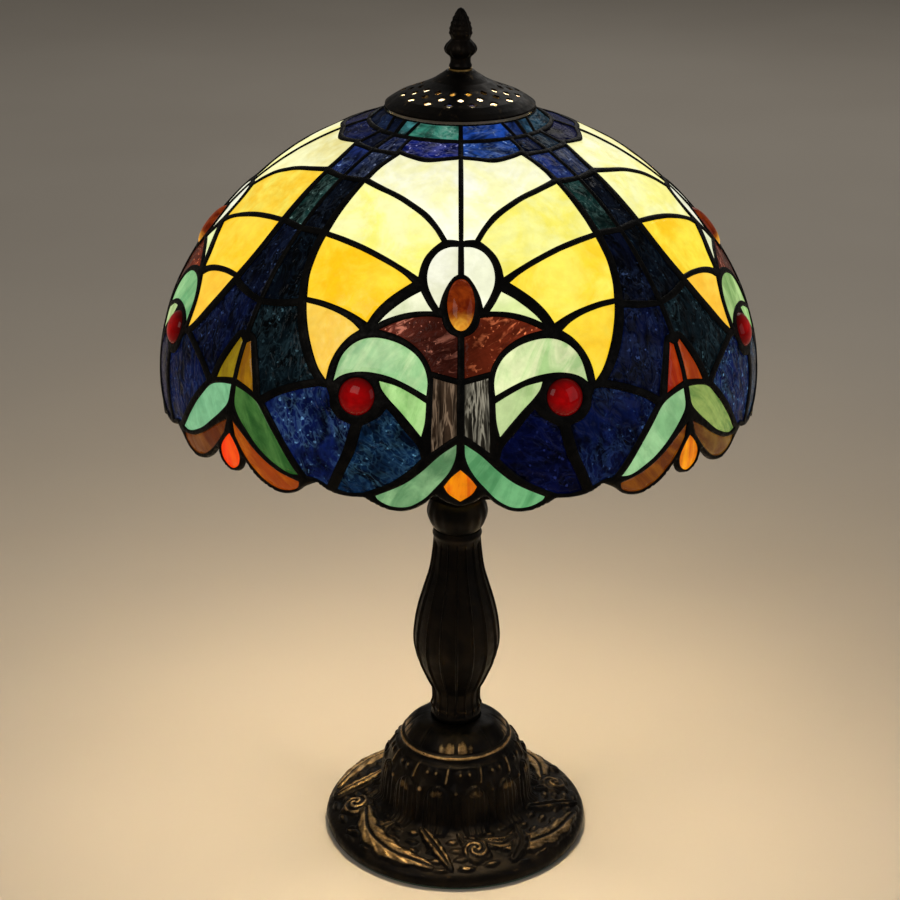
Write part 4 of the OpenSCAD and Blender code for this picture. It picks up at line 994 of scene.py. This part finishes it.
def base_relief(side, angle):
    """How far the cast ornament of the base stands proud, in mm, and how much gold it shows: rubbed wear, and
    painted highlight on the lobes' tips and the shoulder's front petals.
    """
    r, z = side[:, :1], side[:, 1:]
    deg = np.degrees(angle)[None]
    high = np.zeros((len(side), len(angle)))
    rub_and_highlight = np.zeros_like(high)

    def lift(shape, amount, gold):
        nonlocal high, rub_and_highlight
        high = np.maximum(high, shape * amount)
        rub_and_highlight = np.maximum(rub_and_highlight, np.clip(shape, 0, 1) ** 2 * gold)

    def apart(step, start):
        return ((deg - start + step / 2) % step) - step / 2

    # bead ring round the shoulder, and the narrow line under it
    ring = bell(np.hypot(r - 29.4, z - 55.2), 1.5)
    lift(ring + 0 * deg, 1.7, 1.0)
    lift(bell(z - 51.0, 0.7) * (r > 31) + 0 * deg, 0.5, 0.3)
    # drum: twelve tall acanthus lobes
    on_drum = (r < 47) & (z < 53)
    across = np.radians(apart(30, 15)) * np.maximum(r, 30)
    width = 8.6 * np.sqrt(np.clip(1 - ((z - 27) / 15.5) ** 2, 0, 1)) + 0.01
    lobe = np.clip(1 - (across / width) ** 2, 0, 1) ** 0.5 * (np.abs(z - 27) < 15.4) * on_drum
    vein = 1 - 0.35 * bell(across, 0.8) - 0.16 * np.cos(across * 2.2) * ramp(np.abs(across), 0.8, 3)
    # painted highlight: gold on the upper tips of the lobes, where the light catches them
    crest = ramp(z, 30, 39)
    high = np.maximum(high, lobe * vein * 2.4 * on_drum)
    inner = np.where(np.abs(across) < width * 0.8, 1, 0.4)
    rub_and_highlight = np.maximum(rub_and_highlight, lobe * (0.06 + 0.5 * crest * bell(z - 38.5, 4.2)) * inner)
    # narrow tongues between the lobes, curling out at the top
    tongue = np.radians(apart(30, 0)) * np.maximum(r, 30)
    stem = bell(tongue, 1.9) * ramp(z, 17, 22) * (1 - ramp(z, 40, 46)) * on_drum
    lift(stem, 1.5, 0.3)
    knob = bell(tongue, 2.6) * bell(z - 39.5, 2.6) * on_drum
    lift(knob, 2.2, 0.7)
    # upper tier: ribs and paired bosses under the ring
    rib = np.radians(apart(30, 22)) * np.maximum(r, 28)
    lift(bell(rib - (z - 47) * 0.16, 1.2) * ramp(z, 42, 44.5) * (1 - ramp(z, 50.5, 52.5)), 1.3, 0.7)
    for start in (4, 12):
        boss = np.radians(apart(30, start)) * np.maximum(r, 28)
        lift(bell(np.hypot(boss, z - 48.4), 1.9), 1.2, 0.7)
    # shoulder inside the ring: broad leaves with a groove between them
    on_top = z > 57.5
    groove = np.radians(apart(45, 0)) * r
    part = ramp(np.abs(groove), 0.5, 1.6) * on_top
    petal = part * (0.6 + 0.4 * np.cos(np.radians(apart(45, 22.5)) * 8)) * (1 - ramp(z, 64, 67))
    high = np.maximum(high, petal)
    # partly painted highlight: the petals' gold is strongest at the front and at every quarter turn from it
    front = 0.25 + 0.75 * (np.abs(apart(90, 0)) < 22)
    ribs = 0.82 + 0.18 * np.cos(np.radians(apart(45, 0)) * 40)
    fade = (1 - ramp(np.abs(apart(45, 0)), 4, 34)) * (1 - ramp(z, 59, 65.5)) * ribs
    rub_and_highlight = np.maximum(rub_and_highlight, part * fade * front)
    # foot: sweeping leaves, a rose between each pair
    out = (r > 43.5) & (z < 18)
    turned = np.radians(deg)
    sway = np.sin(turned * 18 + r * 0.42) * np.cos(r * 0.62 - turned * 10)
    sway = sway * ramp(r, 44, 47) * (1 - ramp(r, 68, 71)) * out
    high = np.maximum(high, ramp(sway, 0.05, 0.7) * 1.1)
    rub_and_highlight = np.maximum(rub_and_highlight, ramp(sway, 0.3, 0.95) * 0.5)
    x, y = r * np.cos(turned), r * np.sin(turned)

    def leaf(path, width, proud, gold):
        """A cast leaf along a path of (degrees, radius), with a midrib and side veins."""
        nonlocal high, rub_and_highlight
        p = np.array([(b * math.cos(math.radians(a)), b * math.sin(math.radians(a))) for a, b in path])
        p = np.vstack([catmull(p, 5), p[-1]])
        best, along, beside = np.full(x.shape, 1e9), np.zeros(x.shape), np.zeros(x.shape)
        for i in range(len(p) - 1):
            d = p[i + 1] - p[i]
            t = np.clip(((x - p[i, 0]) * d[0] + (y - p[i, 1]) * d[1]) / (d @ d), 0, 1)
            gx, gy = x - p[i, 0] - t * d[0], y - p[i, 1] - t * d[1]
            gap = np.hypot(gx, gy)
            closer = gap < best
            best = np.where(closer, gap, best)
            along = np.where(closer, (i + t) / (len(p) - 1), along)
            beside = np.where(closer, np.sign(d[0] * gy - d[1] * gx), beside)
        w = width * np.sin(np.pi * np.clip(along * 0.9 + 0.08, 0, 1)) ** 0.6
        w = w * (1 + 0.09 * np.sin(along * 34)) + 0.05
        body = np.clip(1 - (best / w) ** 2, 0, 1) ** 0.45 * out
        veins = 1 - 0.5 * bell(best, 0.8) - 0.14 * np.sin(best * 1.5 - along * 40) * ramp(best, 1, 2.5)
        high = np.where(body > 0, np.maximum(body * veins * proud, high * (1 - body)), high)
        rub_and_highlight = np.where(body > 0.02, ramp(body, 0.35, 0.85) * ramp(veins, 0.5, 0.95) * gold, rub_and_highlight)

    for k, gold in enumerate((0.6, 0.75, 1.0, 0.7)):
        at = k * 90
        leaf([(at + 18, 52), (at + 37, 59), (at + 57, 63.5), (at + 79, 67.5)], 6.8, 2.5, gold)
        leaf([(at + 66, 44.5), (at + 78, 54), (at + 88, 68)], 3.6, 2.9, gold * 0.85)
        leaf([(at + 118, 66), (at + 128, 58), (at + 134, 47)], 4.4, 2.4, gold * 0.5)
        leaf([(at + 92, 45), (at + 96, 51), (at + 97, 56)], 2.6, 2.2, gold * 0.6)
        leaf([(at + 108, 52), (at + 117, 56), (at + 127, 54)], 3.0, 2.4, gold * 0.7)
    for k, gold in enumerate((0.7, 0.8, 1.0, 0.75)):
        a = math.radians(101 + 90 * k)
        gx, gy = x - 56.5 * math.cos(a), y - 56.5 * math.sin(a)
        d = np.hypot(gx, gy)
        curl = np.arctan2(gy, gx)
        body = np.clip(1 - (d / (8.4 + 0.9 * np.cos(curl * 5))) ** 2, 0, 1) ** 0.5 * out
        petals = 0.5 + 0.5 * np.cos(d * 1.65 - curl * 2)
        high = np.where(body > 0, np.maximum(body * (2.2 + 1.4 * petals), high * (1 - body)), high)
        rub_and_highlight = np.where(body > 0.05, body * ramp(petals, 0.35, 0.8) * gold, rub_and_highlight)
    # rolled edge
    rub_and_highlight = np.maximum(rub_and_highlight, bell(z - 7.6, 1.3) * (r > 68) * 0.35)
    return high, rub_and_highlight


def make_base():
    side = profile(BASE_SIDE, 0.62)
    around = 640
    high, rub_and_highlight = base_relief(side, angles(around))
    points, _ = lathe(side, around, high)
    rough = np.array([noise.noise(Vector(p) / 2.6) for p in points]) * 0.10
    radial = points * (1, 1, 0)
    radial /= np.maximum(np.linalg.norm(radial, axis=1, keepdims=True), 1e-6)
    points = points + radial * rough[:, None]
    # underside and inside wall, so that the casting is a closed hollow shell
    back = profile([(13.6, 64.5), (19.5, 62), (24.4, 57.4), (29.6, 50.6), (33.8, 44), (36, 38), (37.6, 20),
                    (45, 13.2), (58, 9.2), (69, 4.8), (69.8, 1.2)], 3.0, False)[:-1]
    inner, _ = lathe(back, around)
    faces = lathe_faces(len(side) + len(back), around, closed=True)
    rub_and_highlight = np.r_[rub_and_highlight.ravel(), np.zeros(len(inner))]
    new_piece("base_relief", np.vstack([points, inner]), faces, "base", BRONZE,
              ["base_casting", "base_brim"], [("rub_and_highlight", "FLOAT", rub_and_highlight)])


STEM_SIDE = [(13.3, 67.3), (13.3, 70), (13.6, 74.5), (13.3, 79.3), (13.9, 85.1), (17.1, 91.9), (21.1, 101.4),
             (22.4, 106.2), (23.4, 111), (23.7, 115.7), (23.5, 120.4), (22.3, 129.8), (20.2, 139.2),
             (17.5, 148.4), (14.9, 157.6), (13.5, 166.9), (12.7, 175.8), (12.8, 178.8), (12.6, 181.6)]


def make_stem():
    side = profile(STEM_SIDE, 0.9)
    around = 512
    z = side[:, 1:]
    u = ((np.degrees(angles(around))[None] + 11.25) % 22.5) / 11.25 - 1
    flute = 1 - np.exp(-(np.abs(u) / 0.14) ** 2)
    fade = ramp(z, 70.5, 74) * (1 - ramp(z, 172, 177))
    collar = bell(z - 74.6, 1.3) * 0.7 + bell(z - 70, 1.1) * 0.5 + bell(z - 178.6, 1.2) * 0.5
    # gold on the rib crests and more on the bulge: rubbed wear, partly painted highlight where the ribs catch
    # the light
    rub_and_highlight = (1 - flute) * fade * (0.20 + 0.16 * ramp(z, 80, 100) * (1 - ramp(z, 104, 128))) + collar * 0.55
    points, faces = lathe(side, around, collar - 1.15 * flute * fade)
    new_piece("stem_fluted", points, cap_ends(points, faces, around), "base", BRONZE,
              ["stem_casting"], [("rub_and_highlight", "FLOAT", rub_and_highlight.ravel())])
    knob = profile([(5.4, 181.7), (11.4, 181.7), (13.3, 183.1), (15.1, 186.6), (16, 191), (15.5, 195),
                    (14.3, 197.6), (12, 199.2), (5.4, 199.3)], 0.7)
    around = 256
    from_belt = knob[:, 1:] - 190.5
    lobes = np.cos(angles(around) * 16)[None]
    points, _ = lathe(knob, around, bell(from_belt, 5.5) * lobes * 0.28)
    # gold round the belt and on the lobes: rubbed wear, partly painted highlight
    rub_and_highlight = 0.25 * bell(from_belt, 3) + 0.12 * lobes
    new_piece("neck_bead", points, lathe_faces(len(knob), around, closed=True), "base", BRONZE,
              ["neck_knob"], [("rub_and_highlight", "FLOAT", rub_and_highlight.ravel())])


# ---------- harp, bulb, finial ----------
def sweep(path, radius, around):
    """A round wire along a path in mm."""
    path = np.asarray(path, float)
    run = np.gradient(path, axis=0)
    run /= np.linalg.norm(run, axis=1, keepdims=True)
    points = []
    for p, t in zip(path, run):
        side = np.array([0.0, 1.0, 0.0])
        up = np.cross(side, t)
        for a in angles(around):
            points.append(p + radius * (math.cos(a) * side + math.sin(a) * up))
    return np.array(points), lathe_faces(len(path), around)


def make_harp():
    """A wire of legs, an outward bend, an inward one, straight shoulders and a round top, as in the CAD."""
    wire, leg, foot, top, seat, drop = 1.9, 32.5, 213.7, 245.5, 423.5, 7.3
    out_r, in_r, top_r = 60.0, 150.0, 27.0
    out_turn, lean = math.radians(16), math.radians(8)
    ax = leg + out_r
    bx = ax - (out_r + in_r) * math.cos(out_turn)
    bz = top + (out_r + in_r) * math.sin(out_turn)
    cx, cz = bx + in_r * math.cos(lean), bz + in_r * math.sin(lean)
    run = (seat - drop - top_r * (1 - math.sin(lean)) - cz) / math.cos(lean)
    dx, dz = cx - run * math.sin(lean), cz + run * math.cos(lean)
    half = [(leg, z) for z in np.linspace(foot, top, 12)[:-1]]
    half += [(ax - out_r * math.cos(a), top + out_r * math.sin(a)) for a in np.linspace(0, out_turn, 10)]
    half += [(bx + in_r * math.cos(a), bz + in_r * math.sin(a)) for a in np.linspace(-out_turn, lean, 20)[1:]]
    half += [(cx + (dx - cx) * t, cz + (dz - cz) * t) for t in np.linspace(0, 1, 14)[1:-1]]
    px, pz = dx - top_r * math.cos(lean), dz - top_r * math.sin(lean)
    half += [(px + top_r * math.cos(a), pz + top_r * math.sin(a)) for a in np.linspace(lean, math.pi / 2, 16)]
    path = [(x, 0, z) for x, z in half] + [(-x, 0, z) for x, z in reversed(half)]
    around = 20
    points, faces = sweep(path, wire, around)
    faces = cap_ends(points, faces, around)
    boss, boss_faces = lathe([(1e-3, 414.2), (5.7, 414.2), (6.0, 414.5), (6.0, 421.0), (5.7, 421.3),
                              (1e-3, 421.3)], 40)
    faces += [tuple(i + len(points) for i in f) for f in boss_faces]
    new_piece("harp_wire", np.vstack([points, boss]), faces, "base", BRASS, ["harp_bow"])


def make_bulb():
    outer = profile([(12.6, 254.5), (12.9, 259.5), (14.4, 267.5), (18.4, 277.5), (24, 287.5), (28.2, 296.5),
                     (30, 305.5), (29.5, 314.5), (26.4, 323.5), (20.4, 331), (12, 335.7), (4, 337.3),
                     (0.02, 337.5)], 2.0)
    wall, around = 0.9, 96
    inner = outer[::-1] - (wall, 0)
    inner[:, 0] = np.maximum(inner[:, 0], 0.01)
    inner[:, 1] = np.minimum(inner[:, 1], 337.5 - wall)
    side = np.vstack([outer, inner])
    points, _ = lathe(side, around)
    new_piece("bulb_globe", points, lathe_faces(len(side), around, closed=True), "bulb",
              bulb_material(), ["bulb_glass"])


def make_finial():
    side = profile([(3.3, 427.95), (5.1, 427.95), (5.6, 429), (5.0, 430.6), (5.2, 433.2), (7.1, 435.1),
                    (7.8, 437), (7.1, 439.1), (5.3, 441.2), (4.7, 442), (5.4, 444.1), (5.4, 446),
                    (4.6, 449.5), (3, 453.5), (1.5, 456.1), (0.02, 457)], 0.4)
    around = 144
    angle, z = angles(around)[None], side[:, 1:]
    scales = np.cos(angle * 8 + (z - 442) * 1.25) * np.cos(angle * 8 - (z - 442) * 1.25)
    nut, belt = ramp(z, 443, 445), np.cos(angle * 12)
    shape = 0.32 * scales * nut * (1 - ramp(z, 452, 456)) + 0.26 * belt * bell(z - 437, 3.2)
    points, _ = lathe(side, around, shape)
    rub_and_highlight = 0.3 * np.clip(scales, 0, 1) * nut + 0.3 * bell(z - 437, 2.5) * (1 + belt) / 2
    bore, _ = lathe([(0.02, 443), (3.25, 443), (3.25, 428)], around)
    faces = lathe_faces(len(side) + 3, around, closed=True)
    new_piece("finial_acorn", np.vstack([points, bore]), faces, "finial", BRONZE, ["finial"],
              [("rub_and_highlight", "FLOAT", np.r_[rub_and_highlight.ravel(), np.zeros(len(bore))])])


# ---------- build ----------
BRONZE = bronze_material()
BRONZE_CAST = bronze_material("bronze_cast", False)
BRASS = metal_material("brass", (0.42, 0.27, 0.08), (0.62, 0.43, 0.17))
make_panes()
make_gems()
make_solder()
make_base()
make_stem()
make_harp()
make_bulb()
make_finial()

STEEL = metal_material("steel", (0.38, 0.38, 0.38), (0.62, 0.61, 0.60))
IRON = metal_material("iron", (0.05, 0.048, 0.046), (0.11, 0.10, 0.095), (0.5, 0.7), 200, 0.7, 0.0006)
# painted light: the shade ring's tinned finish is made pale so that the vent holes above it look lit
TINNED_VENT_GLOW = metal_material("tinned_vent_glow", (0.52, 0.47, 0.39), (0.70, 0.65, 0.56), (0.5, 0.7), 300, 0.35)
FELT = felt_material()
PHENOLIC = plastic_material("phenolic", (0.012, 0.010, 0.009), (0.03, 0.025, 0.02))
LINER = plastic_material("liner", (0.33, 0.22, 0.12), (0.46, 0.33, 0.19), (0.7, 0.9))
PORCELAIN = plastic_material("bulb_stem", (0.75, 0.73, 0.68), (0.88, 0.86, 0.8), (0.1, 0.3))
FINISH = {
    "base_felt": FELT, "base_weight": IRON, "base_washer": STEEL, "base_nut": BRASS, "cord_bushing": PHENOLIC,
    "lamp_pipe": BRASS, "harp_saddle": BRONZE_CAST, "harp_ferrule_left": BRASS,
    # painted shade: the harp saddle gets the dark bronze, standing for the shadow it sits in below the glass
    "harp_ferrule_right": BRASS, "harp_stud": BRASS, "seat_washer": STEEL, "socket_cap": BRASS,
    "socket_shell": BRASS, "socket_liner": LINER,
    "socket_core": PHENOLIC, "socket_thread": STEEL, "socket_contact": BRASS, "bulb_cap": STEEL,
    "bulb_insulator": PHENOLIC, "bulb_contact": STEEL, "bulb_mount": PORCELAIN, "shade_ring": TINNED_VENT_GLOW,
    "vent_cap": BRONZE_CAST, "finial_washer": BRASS,
}
for node, material in FINISH.items():
    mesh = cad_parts[node].data
    if not mesh.materials:
        mesh.materials.append(material)
    for k in range(len(mesh.materials)):
        mesh.materials[k] = material


# ---------- studio ----------
def floor_material():
    net = Net("floor", Roughness=0.75)
    at = net.place()
    soft = net.span(net.noise(at, 1.4, 3), 0.3, 0.7)
    return net.set(Base_Color=net.mix(soft, (0.55, 0.495, 0.425), (0.60, 0.545, 0.47)),
                   Normal=net.bump(net.noise(at, 600, 2), 0.05, 0.0002))


def make_floor():
    mesh = bpy.data.meshes.new("floor")
    around, rings = 96, [0.02, 0.3, 1, 3, 9]
    points = [(r * math.cos(2 * math.pi * k / around), r * math.sin(2 * math.pi * k / around), 0)
              for r in rings for k in range(around)]
    faces = lathe_faces(len(rings), around) + [tuple(range(around))]
    mesh.from_pydata(points, [], faces)
    mesh.materials.append(floor_material())
    floor = bpy.data.objects.new("floor", mesh)
    SCENE.collection.objects.link(floor)


def area_light(name, at, aim, size, power, colour):
    data = bpy.data.lights.new(name, "AREA")
    data.shape = "SQUARE"
    data.size = size
    data.energy = power
    data.color = colour
    lamp = bpy.data.objects.new(name, data)
    lamp.location = at
    lamp.rotation_euler = (Vector(aim) - Vector(at)).to_track_quat("-Z", "Y").to_euler()
    SCENE.collection.objects.link(lamp)


def make_lights():
    world = bpy.data.worlds.new("studio")
    world.use_nodes = True
    world.node_tree.nodes["Background"].inputs["Color"].default_value = (0.82, 0.78, 0.72, 1)
    world.node_tree.nodes["Background"].inputs["Strength"].default_value = 0.14
    SCENE.world = world
    area_light("key", (-1.3, -1.5, 1.8), (0, 0, 0.2), 1.2, 10.5, (1.0, 0.95, 0.88))
    area_light("fill", (1.7, -0.9, 1.0), (0, 0, 0.2), 1.5, 4.8, (0.95, 0.96, 1.0))
    area_light("back", (0.4, 1.8, 1.6), (0, 0, 0.25), 1.4, 6.5, (1.0, 0.97, 0.92))
    glow = bpy.data.lights.new("bulb_light", "POINT")
    glow.energy = 6.5
    glow.color = (1.0, 0.80, 0.55)
    glow.shadow_soft_size = 0.028
    lamp = bpy.data.objects.new("bulb_light", glow)
    lamp.location = (0, 0, 0.305)
    SCENE.collection.objects.link(lamp)
    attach(lamp, "bulb")
    bpy.data.objects["bulb_globe"].visible_shadow = False


make_floor()
make_lights()
